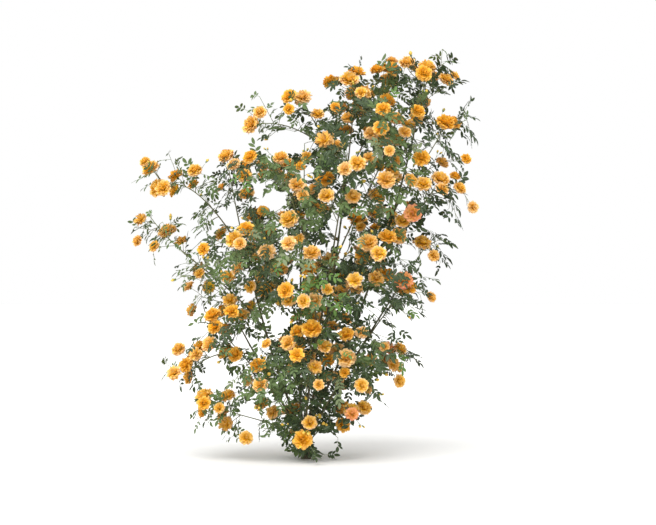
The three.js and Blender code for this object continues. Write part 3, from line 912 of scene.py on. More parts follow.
class Growth:
    """All that the canes carry: lines of twigs and stalks, leaves, blooms and buds."""

    def __init__(self, leaflet_length):
        self.skeleton = Skeleton()
        self.twigs, self.stalks, self.bud_stalks = [], [], []
        self.leaves, self.blooms, self.buds = [], [], []
        self.heads = np.zeros((0, 4))
        sprays = self.skeleton.sprays
        plans = [self.plan_spray(spray) for spray in sprays]
        for spray, carriers in zip(sprays, plans):
            self.grow_finer(spray, carriers)
        for spray in sprays:
            if spray.name in PINK_SPRAYS:
                self.flush(spray)
        self.leaflets, roots = self.lay_leaflets(leaflet_length)
        self.twig_lines = self.cut_back(roots)

    def add_leaf(self, leaf, tint, spray):
        """Adds a leaf of a tint to a spray."""
        leaf.tint = tint
        self.leaves.append(leaf)
        spray.middles.append(leaf.middle)

    def add_bloom(self, bloom, spray, draw):
        """Adds a bloom to a spray, turned to the light, with a tint, a form and a roll of its own."""
        bloom.tint = pick(PETAL_ODDS, draw())
        bloom.kind = FRESH_KINDS[min(int(draw() * FRESH_ODDS), len(FRESH_KINDS) - 1)]
        if bloom.tint == "spent":
            bloom.kind = "spent"
        bloom.roll = draw() * FULL_TURN
        bloom.face(bloom.facing - unit(np.array(LIGHT_WAY)) * LIGHT_TURN)
        self.blooms.append(bloom)
        spray.blooms.append(bloom)
        self.heads = np.vstack([self.heads, [*bloom.middle, bloom.radius * HEAD_GIRTH]])

    def flush(self, spray):
        """Flushes the largest bloom near the front of a spray with pink."""
        foremost = max(spray.blooms, key=lambda bloom: bloom.radius - bloom.seat[1] * NEARNESS)
        foremost.tint, foremost.kind = "pink", "packed"

    def add_twig(self, bow, gauge):
        """Adds a twig of a gauge and gives its line back."""
        self.twigs.append((bow, *gauge))
        return bow

    def cut_back(self, leaf_roots):
        """The lines of the twigs, the last made first, each cut where the last thing on it springs."""
        seats = [bloom.seat for bloom in self.blooms]
        carried = [*leaf_roots, *seats, *[line[0] for line, _ in self.bud_stalks]]
        lines = []
        for bow, foot, tip, steps in reversed(self.twigs):
            shares = np.linspace(0, 1, max(int(bow.length / CARRY_STEP), CARRY_STEPS_LEAST))
            line, spots = bow.at(shares), np.array(carried)
            near = spots[np.linalg.norm(spots - line[0], axis=1) < bow.length + CARRY_GAP]
            if not len(near):
                continue
            gaps = np.linalg.norm(near[:, None] - line, axis=-1)
            last = (shares[gaps.argmin(axis=1)] * (gaps.min(axis=1) < CARRY_GAP)).max()
            if last > BARE_SHARE:
                carried.append(line[0])
                kept = np.linspace(0, last, steps + 1)
                lines.append((bow.at(kept), between((foot, tip), kept)))
        return lines

    def plan_spray(self, spray):
        """A bloom at the tip, and main twigs set round the stem by the golden angle, as in the source.
        Gives the lines that fine twigs may spring from, and how far apart those stand on each."""
        stem = spray.stem
        draw = seeded(SEED + spray.index * SEED_STEP)
        look = seeded(FINE_SEED + spray.index)
        carriers = [(self.add_twig(stem, SPRAY_STEM), FINE_SPACING)]
        crowning = Bloom(stem.at(1), stem.way(1), BLOOM_RADIUS * between(BLOOM_SIZES, draw()))
        if self.main_bloom_fits(spray, crowning):
            self.add_bloom(crowning, spray, look)
            spray.middles.append(crowning.middle)
        count = math.floor(stem.length / TWIG_SPACING + 0.5)
        for k in range(count):
            share = (k + TWIG_FIRST) / (count + TWIG_REST)
            root, way = stem.at(share), stem.way(share)
            side = sideways(way, k * GOLDEN_ANGLE + draw() * TWIG_WANDER)
            out = unit(way * math.cos(TWIG_SPLAY) + side * math.sin(TWIG_SPLAY) + UP * TWIG_LIFT)
            reach = spray.spread * between(TWIG_LENGTHS, draw())
            radius = BLOOM_RADIUS * between(BLOOM_SIZES, draw())
            endings = (True, False) if draw() < BLOOM_SHARE else (False,)
            turn = draw() * FULL_TURN
            tint = self.twig_tint(spray, look)
            made = self.main_twig(spray, root, out, reach, radius, endings, turn)
            if made:
                bow, bloom, leaves = made
                carriers.append((self.add_twig(bow, MAIN_TWIG), FINE_TWIG_SPACING))
                if bloom:
                    self.add_bloom(bloom, spray, look)
                    spray.middles.append(bloom.middle)
                for leaf in leaves:
                    self.add_leaf(leaf, tint, spray)
            opposite = Leaf(root, way, -side)
            if self.main_leaf_fits(spray, opposite):
                self.add_leaf(opposite, tint, spray)
        return carriers

    def main_twig(self, spray, root, out, reach, radius, endings, turn):
        """The longest main twig that has room: its line, its bloom or None, and its leaves."""
        for flowers, cut in itertools.product(endings, TWIG_TRIES):
            run = reach * cut - (BLOOM_REACH if flowers else LEAF_REACH)
            end = root + out * run
            spots = root + (end - root) * np.array(TWIG_CHECKS)[:, None]
            if run < TWIG_SHORTEST or not self.skeleton.fits(spray, spots, TWIG_GIRTH):
                continue
            bloom = Bloom(end, out, radius) if flowers else None
            if flowers and not self.main_bloom_fits(spray, bloom):
                continue
            leaves = [
                Leaf(root + (end - root) * at, out, sideways(out, turn + i * math.pi))
                for i, at in enumerate(TWIG_LEAVES_AT)
            ]
            kept = [leaf for leaf in leaves if self.main_leaf_fits(spray, leaf)]
            if flowers or len(kept) >= TWIG_LEAVES_LEAST:
                arriving = bloom.facing if flowers else out
                return bowed(root, end, run, out, arriving, TWIG_HANDLES), bloom, kept
        return None

    def main_leaf_fits(self, spray, leaf):
        """True if a leaf has the room that the source gives it."""
        return spray.clear(leaf.middle, LEAF_APART) and self.skeleton.fits(spray, leaf.places(), LEAF_GIRTH)

    def main_bloom_fits(self, spray, bloom):
        """True if a bloom has the room that the source gives it."""
        return (
            spray.clear(bloom.middle, BLOOM_APART)
            and self.skeleton.clear_of_limbs(bloom.middle[None], bloom.radius * BLOOM_GIRTH)
            and self.skeleton.fits(spray, bloom.corners(), 0)
        )

    def twig_tint(self, spray, look):
        """The leaf tint of one twig: mostly its spray's own."""
        if look() < TINT_SHARE:
            return spray.tint
        return pick(TINT_ODDS, look())

    def grow_finer(self, spray, carriers):
        """Fine twigs from every main twig of a spray, and leaves along them all."""
        draw = seeded(FINE_SEED * SEED_STEP + spray.index)
        fine = []
        for bow, spacing in carriers:
            for k in range(round(bow.length / spacing)):
                share = (k + FINE_FIRST) * spacing / bow.length
                if share < 1:
                    made = self.fine_twig(spray, bow, share, k, draw)
                    fine += [made] if made else []
        for bow, tipped in fine:
            if self.leaves_at_nodes(spray, bow, draw) or tipped:
                self.add_twig(bow, FINE_TWIG)
        for bow, _ in carriers:
            self.leaves_at_nodes(spray, bow, draw)
        self.reach_out(spray, [bow for bow, _ in carriers], draw)

    def reach_out(self, spray, carriers, draw):
        """Twigs that reach for the empty places left in a spray's room."""
        counts = [max(int(bow.length / ROOT_SPACING), ROOTS_LEAST) for bow in carriers]
        roots = [bow.at(np.linspace(ROOT_FROM, 1, count)) for bow, count in zip(carriers, counts)]
        roots = np.concatenate(roots)
        for _ in range(REACH_TRIES):
            on, angle, share = draw(), draw() * FULL_TURN, math.sqrt(draw())
            goal = spray.stem.at(on) + sideways(spray.stem.way(on), angle) * spray.spread * share
            radius, ending = BLOOM_RADIUS * between(FINE_BLOOM_SIZES, draw()), draw()
            if not self.open_for_twig(spray, goal[None]) or not spray.clear(goal, EMPTY_ROOM):
                continue
            root = roots[np.linalg.norm(roots - goal, axis=1).argmin()]
            run = np.linalg.norm(goal - root)
            if not FINE_SHORTEST < run < REACH_MOST:
                continue
            out = (goal - root) / run
            bow = bowed(root, goal, run, unit(out + UP * REACH_LIFT), out, REACH_HANDLES)
            if not self.open_for_twig(spray, bow.at(REACH_CHECKS)):
                continue
            bloom = Bloom(goal, out, radius)
            flowers = ending < REACH_BLOOM_SHARE and self.head_fits(spray, bloom)
            if flowers:
                self.add_bloom(bloom, spray, draw)
                spray.middles.append(bloom.middle)
            tipped = flowers or self.end_leaf(spray, goal, out, draw)
            if self.leaves_at_nodes(spray, bow, draw) or tipped:
                self.add_twig(bow, FINE_TWIG)

    def clear_of_heads(self, places, girth):
        """True if no place lies inside a bloom."""
        gaps = np.linalg.norm(places[:, None] - self.heads[:, :3], axis=-1)
        return (gaps > self.heads[:, 3] + girth).all()

    def room_for(self, spray, places, girth):
        """True if fine growth has room at every place: in its spray's reach and clear of blooms."""
        return self.clear_of_heads(places, girth) and self.skeleton.fits(
            spray, places, girth, FINE_SLACK, FINE_OVERREACH
        )

    def open_for_twig(self, spray, places):
        """True if a fine twig may pass every place, out of the plant's open places too."""
        return self.room_for(spray, places, FINE_GIRTH) and not in_sky_gap(places, GAP_SWINGS)

    def fine_twig(self, spray, bow, share, k, draw):
        """A fine twig, and whether a bloom, buds or a leaf sits at its end; None without room."""
        root, way = bow.at(share), bow.way(share)
        side = sideways(way, (k + FINE_TURN) * GOLDEN_ANGLE + draw() * FINE_WANDER)
        lift = UP * between(FINE_LIFTS, draw())
        out = unit(way * math.cos(FINE_SPLAY) + side * math.sin(FINE_SPLAY) + lift)
        full = between(FINE_LENGTHS, draw() ** FINE_SHORTNESS)
        ending, radius = draw(), BLOOM_RADIUS * between(FINE_BLOOM_SIZES, draw())
        for cut in FINE_TRIES:
            run = full * cut
            if run < FINE_SHORTEST:
                return None
            end = root + out * run
            if not self.open_for_twig(spray, root + (end - root) * np.array(FINE_CHECKS)[:, None]):
                continue
            bloom = Bloom(end, out, radius)
            flowers = ending < FINE_BLOOM_SHARE and self.head_fits(spray, bloom)
            arriving = bloom.facing if flowers else unit(out + UP * between(FINE_SWEEPS, draw()))
            made = bowed(root, end, run, out, arriving, FINE_HANDLES)
            if flowers:
                self.add_bloom(bloom, spray, draw)
                return made, True
            if ending < FINE_BUD_SHARE:
                return made, self.add_buds(end, arriving, draw)
            return made, self.end_leaf(spray, end, arriving, draw)
        return None

    def end_leaf(self, spray, end, way, draw):
        """A leaf at the end of a twig, where there is room for one; says if there was."""
        leaf = Leaf(end, way, way, between(NODE_LEAF_SIZES, draw()))
        has_room = self.leaf_has_room(spray, leaf)
        if has_room:
            self.add_leaf(leaf, self.twig_tint(spray, draw), spray)
        return has_room

    def head_fits(self, spray, bloom):
        """True if a bloom is clear of the others, in its spray's room and out of open places."""
        gaps = np.linalg.norm(self.heads[:, :3] - bloom.middle, axis=1)
        if (gaps < self.heads[:, 3] * HEAD_OVERLAP + bloom.radius).any():
            return False
        corners = bloom.corners()
        if in_sky_gap(between((bloom.middle, corners), HEAD_IN_GAP), GAP_SWINGS):
            return False
        return self.skeleton.fits(spray, corners, 0, FINE_SLACK, FINE_OVERREACH)

    def add_buds(self, end, way, draw):
        """One or two buds on short stalks; says if any had room."""
        before = len(self.buds)
        for i in range(1 + int(draw() * len(BUD_SPLAYS))):
            splay = sideways(way, i * GOLDEN_ANGLE + draw()) * BUD_SPLAYS[i]
            out = unit(way + splay + UP * BUD_LIFT)
            seat = end + out * between(BUD_STALKS, draw())
            size, roll = between(BUD_SIZES, draw()), draw() * FULL_TURN
            if self.skeleton.inside(np.array([seat + out * BUD_ROOM])):
                line = np.linspace(end, seat, len(BUD_STALK_RADII))
                self.bud_stalks.append((line, np.array(BUD_STALK_RADII)))
                self.buds.append((seat, out, size, roll))
        return len(self.buds) > before

    def leaf_has_room(self, spray, leaf):
        """True if a leaf on fine growth is clear of the others and of blooms, and in its spray's reach."""
        if not spray.clear(leaf.middle, NODE_LEAF_APART):
            return False
        return self.room_for(spray, leaf.places(), FINE_LEAF_GIRTH)

    def leaves_at_nodes(self, spray, bow, draw):
        """Leaves set along a twig, where there is room for them; gives how many there are."""
        before, count = len(self.leaves), int(bow.length / NODE_SPACING)
        tint = self.twig_tint(spray, draw)
        for k in range(count):
            share = (k + NODE_FIRST) / (count + NODE_REST)
            root, way = bow.at(share), bow.way(share)
            side = sideways(way, k * GOLDEN_ANGLE + draw() * NODE_WANDER)
            leaf = Leaf(root, way, side, between(NODE_LEAF_SIZES, draw()) * (1 - NODE_TAPER * share))
            if self.leaf_has_room(spray, leaf):
                self.add_leaf(leaf, tint, spray)
        return len(self.leaves) - before

    def lay_leaflets(self, full_length):
        """The place, ways, size and kind of every leaflet by tint, and the roots of the leaves."""
        draw = seeded(LEAFLET_SEED)
        made, roots = {tint: [] for tint in TINT_ODDS}, []
        for leaf in self.leaves:
            run = leaf.reach * RACHIS_SHARE
            seven = draw() < SEVEN_SHARE or leaf.size > SEVEN_FROM
            pairs = PAIRS_OF_SEVEN if seven else PAIRS_OF_FIVE
            broad = 1 + RIGHT_GAIN * leaf.root[0] / CROWN_WIDTH
            size = full_length * broad * math.sqrt(leaf.size) * between(LEAFLET_SIZES, draw())
            leaflets = {}
            for n, pair in enumerate(pairs):
                foot = leaf.on_stalk(run, pair)
                share = between(LEAFLET_SHARES, n / (len(pairs) - 1))
                forward = leaf.along * math.cos(LEAFLET_SPLAY)
                for hand in (-1, 1):
                    way = forward + leaf.across * hand * math.sin(LEAFLET_SPLAY)
                    leaflets[pair, hand] = self.toss(foot, way, leaf.face, size * share, draw)
            end = leaf.on_stalk(run, 1)
            ahead = unit(end - leaf.on_stalk(run, RACHIS_END_FROM))
            leaflets[1, 0] = self.toss(end, ahead, leaf.face, size, draw)
            kept = {spot: leaflet for spot, leaflet in leaflets.items() if self.leaflet_stays(leaflet)}
            if len(kept) < LEAFLETS_LEAST:
                continue
            made[leaf.tint] += kept.values()
            last = max(share for share, _ in kept)
            line = [leaf.on_stalk(run, share * last) for share in np.linspace(0, 1, RACHIS_POINTS)]
            self.stalks.append((np.array(line), np.linspace(*RACHIS_RADII, RACHIS_POINTS)))
            roots.append(leaf.root)
        return made, roots

    def leaflet_stays(self, leaflet):
        """True if a leaflet keeps within the plant's reach, and out of open places and blooms."""
        foot, (across, along, _), size, _ = leaflet
        reach = size / MM
        halfway, aside = foot + along * reach * 0.5, across * reach * LEAFLET_HALF
        places = np.array([foot + along * reach, halfway - aside, halfway + aside])
        if not self.skeleton.inside(places) or in_sky_gap(places, GAP_SWINGS):
            return False
        return self.clear_of_heads(places, -LEAFLET_SUNK)

    @staticmethod
    def toss(foot, way, face, size, draw):
        """A leaflet, turned a little off its leaf's own plane."""
        nudge = np.array([draw(), draw(), draw()]) - 0.5
        along = unit(way + nudge * LEAFLET_TOSS - UP * LEAFLET_SAG)
        tilt = np.array([draw(), draw(), draw()]) - 0.5
        across = unit(np.cross(along, face + tilt * LEAFLET_TILT))
        ways = (across, along, np.cross(across, along))
        return foot, ways, size * between(LEAFLET_ODD_SIZES, draw()), int(draw() * len(LEAFLET_SHAPES))


@functools.cache
def growth(leaflet_length):
    """The plant's growth, worked out once."""
    return Growth(leaflet_length)


def grown(context):
    """The plant's growth, for the leaflets that the user asks for."""
    return growth(context.scene.rose_sizes.leaflet_length)


def add_node(tree, kind, inputs=(), **settings):
    """Adds a node with its settings, and sets or links its inputs, given by name or in order.
    A node that is given as an input is linked by its first output."""
    made = tree.nodes.new(kind)
    for name, value in settings.items():
        setattr(made, name, value)
    for socket, value in inputs.items() if isinstance(inputs, dict) else enumerate(inputs):
        if isinstance(value, bpy.types.Node):
            value = value.outputs[0]
        if isinstance(value, bpy.types.NodeSocket):
            tree.links.new(value, made.inputs[socket])
        else:
            made.inputs[socket].default_value = value
    return made


def new_tree(name, sockets):
    """An empty Geometry Nodes tree with named inputs, and what its inputs give."""
    tree = bpy.data.node_groups.new(name, "GeometryNodeTree")
    tree.interface.new_socket("Geometry", in_out="INPUT", socket_type="NodeSocketGeometry")
    for socket, kind in sockets.items():
        tree.interface.new_socket(socket, in_out="INPUT", socket_type=kind)
    tree.interface.new_socket("Geometry", in_out="OUTPUT", socket_type="NodeSocketGeometry")
    return tree, add_node(tree, "NodeGroupInput").outputs


def dress_tree(tree, shape, material):
    """Ends a tree: makes a shape real, shades it smooth and gives it its material."""
    real = add_node(tree, "GeometryNodeRealizeInstances", [shape])
    smooth = add_node(tree, "GeometryNodeSetShadeSmooth", [real])
    dressed = add_node(tree, "GeometryNodeSetMaterial", {0: smooth, "Material": material})
    add_node(tree, "NodeGroupOutput", [dressed])
    return tree


@functools.cache
def copies_tree():
    """Sets copies of shapes on points, by each point's own turn, size and kind."""
    sockets = {"Shapes": "NodeSocketCollection", "Material": "NodeSocketMaterial"}
    tree, given = new_tree("Copies on points", sockets)
    add = functools.partial(add_node, tree)
    choice = {"Collection": given["Shapes"], "Separate Children": True, "Reset Children": True}
    shapes = add("GeometryNodeCollectionInfo", choice)
    turn = add("GeometryNodeInputNamedAttribute", {"Name": "turn"}, data_type="QUATERNION")
    size = add("GeometryNodeInputNamedAttribute", {"Name": "size"}, data_type="FLOAT_VECTOR")
    kind = add("GeometryNodeInputNamedAttribute", {"Name": "kind"}, data_type="INT")
    copies = add(
        "GeometryNodeInstanceOnPoints",
        {
            "Points": given["Geometry"],
            "Instance": shapes,
            "Pick Instance": True,
            "Instance Index": kind,
            "Rotation": turn,
            "Scale": size,
        },
    )
    return dress_tree(tree, copies, given["Material"])


@functools.cache
def limbs_tree():
    """Wraps round limbs on lines by their own radius, and raises ridges along them."""
    sockets = {
        "Sides": "NodeSocketInt",
        "Relief": "NodeSocketFloat",
        "Ridges": "NodeSocketFloat",
        "Material": "NodeSocketMaterial",
    }
    tree, given = new_tree("Limbs on lines", sockets)
    add = functools.partial(add_node, tree)
    curve = add("GeometryNodeMeshToCurve", [given["Geometry"]])
    radius = add("GeometryNodeInputNamedAttribute", {"Name": "thickness"}, data_type="FLOAT")
    ring_sizes = {"Resolution": given["Sides"], "Radius": 1.0}
    ring = add("GeometryNodeCurvePrimitiveCircle", ring_sizes, mode="RADIUS")
    round_share = add("GeometryNodeSplineParameter").outputs["Factor"]
    mark = {"Geometry": ring, "Name": "around", "Value": round_share}
    marked = add("GeometryNodeStoreNamedAttribute", mark, data_type="FLOAT", domain="POINT")
    wrap = {"Curve": curve, "Profile Curve": marked, "Scale": radius, "Fill Caps": True}
    tube = add("GeometryNodeCurveToMesh", wrap)
    around = add("GeometryNodeInputNamedAttribute", {"Name": "around"}, data_type="FLOAT")
    along = add("GeometryNodeInputNamedAttribute", {"Name": "along"}, data_type="FLOAT")
    flat = add("ShaderNodeCombineXYZ", [around, along])
    mark = {"Geometry": tube, "Name": SHARED_MAP, "Value": flat}
    mapped = add("GeometryNodeStoreNamedAttribute", mark, data_type="FLOAT2", domain="CORNER")
    place = add("GeometryNodeInputPosition")
    stretched = add("ShaderNodeVectorMath", [place, RIDGE_STRETCH], operation="MULTIPLY")
    ridge = add("ShaderNodeTexNoise", {"Vector": stretched, "Scale": given["Ridges"], "Detail": 3.0})
    centred = add("ShaderNodeMath", [ridge, 0.5], operation="SUBTRACT")
    height = add("ShaderNodeMath", [centred, given["Relief"]], operation="MULTIPLY")
    normal = add("GeometryNodeInputNormal")
    offset = add("ShaderNodeVectorMath", {0: normal, "Scale": height}, operation="SCALE")
    raised = add("GeometryNodeSetPosition", {"Geometry": mapped, "Offset": offset})
    return dress_tree(tree, raised, given["Material"])


def settle(name, seed_mesh, tree, values):
    """Runs a tree on a mesh and gives the result as a plain object at the origin."""
    source = bpy.data.objects.new(name + "_source", seed_mesh)
    bpy.context.scene.collection.objects.link(source)
    modifier = source.modifiers.new(tree.name, "NODES")
    modifier.node_group = tree
    for socket in tree.interface.items_tree:
        if socket.in_out == "INPUT" and socket.name in values:
            modifier[socket.identifier] = values[socket.name]
    graph = bpy.context.evaluated_depsgraph_get()
    mesh = bpy.data.meshes.new_from_object(source.evaluated_get(graph), depsgraph=graph)
    bpy.data.objects.remove(source)
    bpy.data.meshes.remove(seed_mesh)
    if not len(mesh.polygons):
        raise RuntimeError(f"{name} came out empty")
    mesh.name = name
    made = bpy.data.objects.new(name, mesh)
    bpy.context.scene.collection.objects.link(made)
    return made


def limbs_on(name, lines, sides, material, relief=0.0, ridges=1.0):
    """One piece of round limbs, from lines of places and radii in millimetres."""
    places = np.concatenate([line for line, _ in lines]) * MM
    starts = np.cumsum([0] + [len(line) for line, _ in lines])
    edges = [(i, i + 1) for first, last in zip(starts, starts[1:]) for i in range(first, last - 1)]
    mesh = bpy.data.meshes.new(name + "_lines")
    mesh.from_pydata(places, edges, [])
    radii = np.concatenate([radii for _, radii in lines]) * MM
    shares = np.concatenate([np.linspace(0, 1, len(line)) for line, _ in lines])
    for attribute, numbers in {"thickness": radii, "along": shares}.items():
        layer = mesh.attributes.new(attribute, "FLOAT", "POINT")
        layer.data.foreach_set("value", numbers.astype(np.float32))
    values = {"Sides": sides, "Relief": relief, "Ridges": ridges, "Material": material}
    return settle(name, mesh, limbs_tree(), values)


def copies_on(name, shapes, places, turns, sizes, kinds, material):
    """One piece of copied shapes, on places in millimetres."""
    mesh = bpy.data.meshes.new(name + "_points")
    mesh.from_pydata(np.array(places) * MM, [], [])
    quaternions = [Matrix(ways).transposed().to_quaternion() for ways in turns]
    turn = np.array([tuple(q) for q in quaternions], np.float32)
    size = np.repeat(np.array(sizes, np.float32)[:, None], 3, axis=1)
    mesh.attributes.new("turn", "QUATERNION", "POINT").data.foreach_set("value", turn.ravel())
    mesh.attributes.new("size", "FLOAT_VECTOR", "POINT").data.foreach_set("vector", size.ravel())
    mesh.attributes.new("kind", "INT", "POINT").data.foreach_set("value", np.array(kinds, np.int32))
    return settle(name, mesh, copies_tree(), {"Shapes": shapes, "Material": material})


def shape_mesh(name, points, faces, flat):
    """A mesh with the shared map, whose places on the map are given point by point."""
    mesh = bpy.data.meshes.new(name)
    mesh.from_pydata(points, [], faces)
    layer = mesh.uv_layers.new(name=SHARED_MAP)
    corners = np.zeros(len(mesh.loops), np.int32)
    mesh.loops.foreach_get("vertex_index", corners)
    layer.data.foreach_set("uv", np.array(flat, np.float32)[corners].ravel())
    mesh.validate()
    return mesh


def shape_set(name, meshes):
    """A collection of shapes to copy, in their own order."""
    made = bpy.data.collections.new(name)
    for i, mesh in enumerate(meshes):
        made.objects.link(bpy.data.objects.new(f"{name}_{i:02d}", mesh))
    return made


def drop_shapes(shapes):
    """Removes a collection of shapes once its copies are made."""
    for shape in list(shapes.objects):
        mesh = shape.data
        bpy.data.objects.remove(shape)
        bpy.data.meshes.remove(mesh)
    bpy.data.collections.remove(shapes)


def patch(rows, columns, first=0):
    """The faces of a grid of points."""
    corners = [first + r * columns + c for r in range(rows - 1) for c in range(columns - 1)]
    return [(at, at + 1, at + columns + 1, at + columns) for at in corners]


def rings(rows, sides):
    """The faces between closed rings of points."""
    return [
        (r * sides + s, r * sides + (s + 1) % sides, (r + 1) * sides + (s + 1) % sides, (r + 1) * sides + s)
        for r in range(rows - 1)
        for s in range(sides)
    ]


def lathe(profile, sides):
    """Points and faces of a round body from radii and heights, closed at both ends."""
    angles = [FULL_TURN * s / sides for s in range(sides)]
    points = [(r * math.cos(angle), r * math.sin(angle), z) for r, z in profile for angle in angles]
    last = (len(profile) - 1) * sides
    caps = [tuple(reversed(range(sides))), tuple(range(last, last + sides))]
    flat = [(s / sides, i / (len(profile) - 1)) for i in range(len(profile)) for s in range(sides)]
    return points, rings(len(profile), sides) + caps, flat


def leaflet_mesh(name, wide, fold, arch, wave, broad):
    """A pointed oval blade of unit length, folded along its midrib and arched to its tip."""
    points, flat = [(0, 0, 0)], [(0.5, 0)]
    for n, (along, girth) in enumerate(LEAFLET_ROWS):
        half = wide * broad / 2 * girth
        for side in (-1, 0, 1):
            height = fold * abs(side) * half - arch * along**2 + wave * side * (-1) ** n
            points.append((side * half, along, height))
            flat.append((0.5 + side * 0.5, along))
    points.append((0, 1, -arch))
    flat.append((0.5, 1))
    last = len(points) - 1
    foot = [(0, 2, 1), (0, 3, 2)]
    tip = [(last - 3, last - 2, last), (last - 2, last - 1, last)]
    return shape_mesh(name, points, [*foot, *patch(len(LEAFLET_ROWS), 3, 1), *tip], flat)


def petal_points(lean, turn, reach, width, twist, ruffle, phase):
    """The points of one petal of a bloom of unit radius, whose tip leans away from the bloom's axis."""
    across = np.array(PETAL_ACROSS)[None, :]
    along = np.array(PETAL_ALONG)[:, None] - np.array(PETAL_CORNERS)[:, None] * across**2
    girth = width * np.array(PETAL_GIRTHS)[:, None]
    foot = np.array(PETAL_FOOT)
    tip = reach * np.array([math.sin(lean), TIP_RISE + TIP_SWING * math.cos(lean)])
    run = tip - foot
    back = np.array([run[1], -run[0]]) / np.linalg.norm(run)
    belly = foot + run * BELLY_AT + back * BELLY_DEPTH * math.cos(lean)
    rest = 1 - along
    rise = [foot[i] * rest**2 + 2 * belly[i] * rest * along + tip[i] * along**2 for i in (0, 1)]
    curl = CURL_DEPTH * min(max(lean, 0), 1) * np.clip((along - CURL_FROM) / CURL_RUN, 0, CURL_MOST) ** 2
    hollow = (HOLLOW_DEPTH * math.cos(lean) - HOLLOW_LOST) * across**2 * girth
    frill = ruffle * np.sin(FRILLS * across + phase) * along**2
    push = curl - hollow + frill
    aside = girth * across
    out = rise[0] + back[0] * push
    height = rise[1] + back[1] * push + aside * math.sin(twist) * TWIST_LIFT
    aside = aside * math.cos(twist)
    x = out * math.cos(turn) - aside * math.sin(turn)
    y = out * math.sin(turn) + aside * math.cos(turn)
    return np.stack([x, y, height], axis=-1).reshape(-1, 3)


def bloom_mesh(name, seed, petals, lean, ruffle, muddle):
    """A double bloom of unit radius, its petals set by the golden angle from the heart out."""
    draw = seeded(seed)
    points, faces, flat = [], [], []
    rows, columns = len(PETAL_ALONG), len(PETAL_ACROSS)
    for i in range(petals):
        share = (i + PETAL_FIRST) / petals
        tip_lean = math.radians(lean + HEART_LEAN) * share**OPENING - math.radians(HEART_LEAN)
        tip_lean += (draw() - 0.5) * muddle * LEAN_MUDDLE
        turn = i * GOLDEN_ANGLE + (draw() - 0.5) * muddle * TURN_MUDDLE
        reach = 1.0 + (draw() - 0.5) * muddle
        width = (PETAL_WIDTH + PETAL_WIDENING * share) * between(PETAL_WIDTHS, draw())
        twist = (draw() - 0.5) * (PETAL_TWIST + muddle)
        faces += patch(rows, columns, len(points))
        points += petal_points(tip_lean, turn, reach, width, twist, ruffle, draw() * FRILL_TURN).tolist()
        strip = min(int(share * PETAL_STRIPS), PETAL_STRIPS - 1) + STRIP_MARGIN
        flat += [
            (
                (strip + (1 - 2 * STRIP_MARGIN) * c / (columns - 1)) / PETAL_STRIPS,
                FOOT_MARGIN + (1 - 2 * FOOT_MARGIN) * r / (rows - 1),
            )
            for r in range(rows)
            for c in range(columns)
        ]
    return shape_mesh(name, points, faces, flat)


def calyx_mesh(name, cup, reach, spread, droop):
    """The green cup under a bloom of unit radius, and its five sepals."""
    points, faces, flat = lathe([(r * cup, z) for r, z in CUP_PROFILE], CUP_SIDES)
    for i in range(SEPALS):
        turn = FULL_TURN * i / SEPALS
        faces += patch(len(SEPAL_ROWS), 2, len(points))
        for along, girth in SEPAL_ROWS:
            out = SEPAL_FOOT[0] * cup + reach * along * spread
            height = SEPAL_FOOT[1] + reach * along * (1 - spread) - droop * along**2
            for side in (-1, 1):
                x = out * math.cos(turn) - side * girth * math.sin(turn)
                y = out * math.sin(turn) + side * girth * math.cos(turn)
                points.append((x, y, height))
                flat.append((0.5 + side * 0.5, along))
    return shape_mesh(name, points, faces, flat)


def bud_mesh(name, girth, lean):
    """A furled bud of unit length, its petals wound to a point."""
    points, faces, flat = lathe([(r * girth, z) for r, z in BUD_PROFILE], BUD_SIDES)
    wound = []
    for x, y, z in points:
        fold = math.sin(BUD_FOLDS * math.atan2(y, x) + z * BUD_WIND)
        swell = 1 + BUD_FOLD_HEIGHT * fold * (1 - abs(2 * z - 1) ** 2)
        wound.append((x * swell + lean * z * z, y * swell, z))
    return shape_mesh(name, wound, faces, flat)


def prickle_mesh(name, hook):
    """A prickle of unit height: a broad foot drawn up to a point that hooks down."""
    points, flat = [], []
    for height, girth in PRICKLE_ROWS:
        for s in range(PRICKLE_SIDES):
            angle = FULL_TURN * s / PRICKLE_SIDES
            across = PRICKLE_ACROSS * girth * math.cos(angle)
            points.append((across, PRICKLE_ALONG * girth * math.sin(angle) - hook * height**2, height))
            flat.append((s / PRICKLE_SIDES, max(height, 0)))
    tip = len(points)
    points.append((0, -hook, 1))
    flat.append((0.5, 1))
    last = tip - PRICKLE_SIDES
    point = [(last + s, last + (s + 1) % PRICKLE_SIDES, tip) for s in range(PRICKLE_SIDES)]
    return shape_mesh(name, points, rings(len(PRICKLE_ROWS), PRICKLE_SIDES) + point, flat)


def new_material(name, roughness):
    """A material with its shader, linked to its output."""
    material = bpy.data.materials.new(name)
    material.use_nodes = True
    tree = material.node_tree
    tree.nodes.clear()
    shader = add_node(tree, "ShaderNodeBsdfPrincipled", {"Roughness": roughness})
    add_node(tree, "ShaderNodeOutputMaterial", {"Surface": shader})
    return material, tree, shader


def solid(linear_colour):
    """A colour with no see-through."""
    return (*linear_colour, 1.0)


def map_axes(tree):
    """The shared map and its two axes."""
    flat = add_node(tree, "ShaderNodeUVMap", uv_map=SHARED_MAP)
    axes = add_node(tree, "ShaderNodeSeparateXYZ", [flat])
    return flat, axes.outputs[0], axes.outputs[1]


def mottled(tree, plain, place, scale, shades):
    """A colour that is darker and lighter in soft patches."""
    patches = add_node(tree, "ShaderNodeTexNoise", {"Vector": place, "Scale": scale, "Detail": 2.0})
    shade = add_node(tree, "ShaderNodeMapRange", [patches, *NOISE_RANGE, *shades])
    return add_node(tree, "ShaderNodeVectorMath", {0: plain, "Scale": shade}, operation="SCALE").outputs[0]


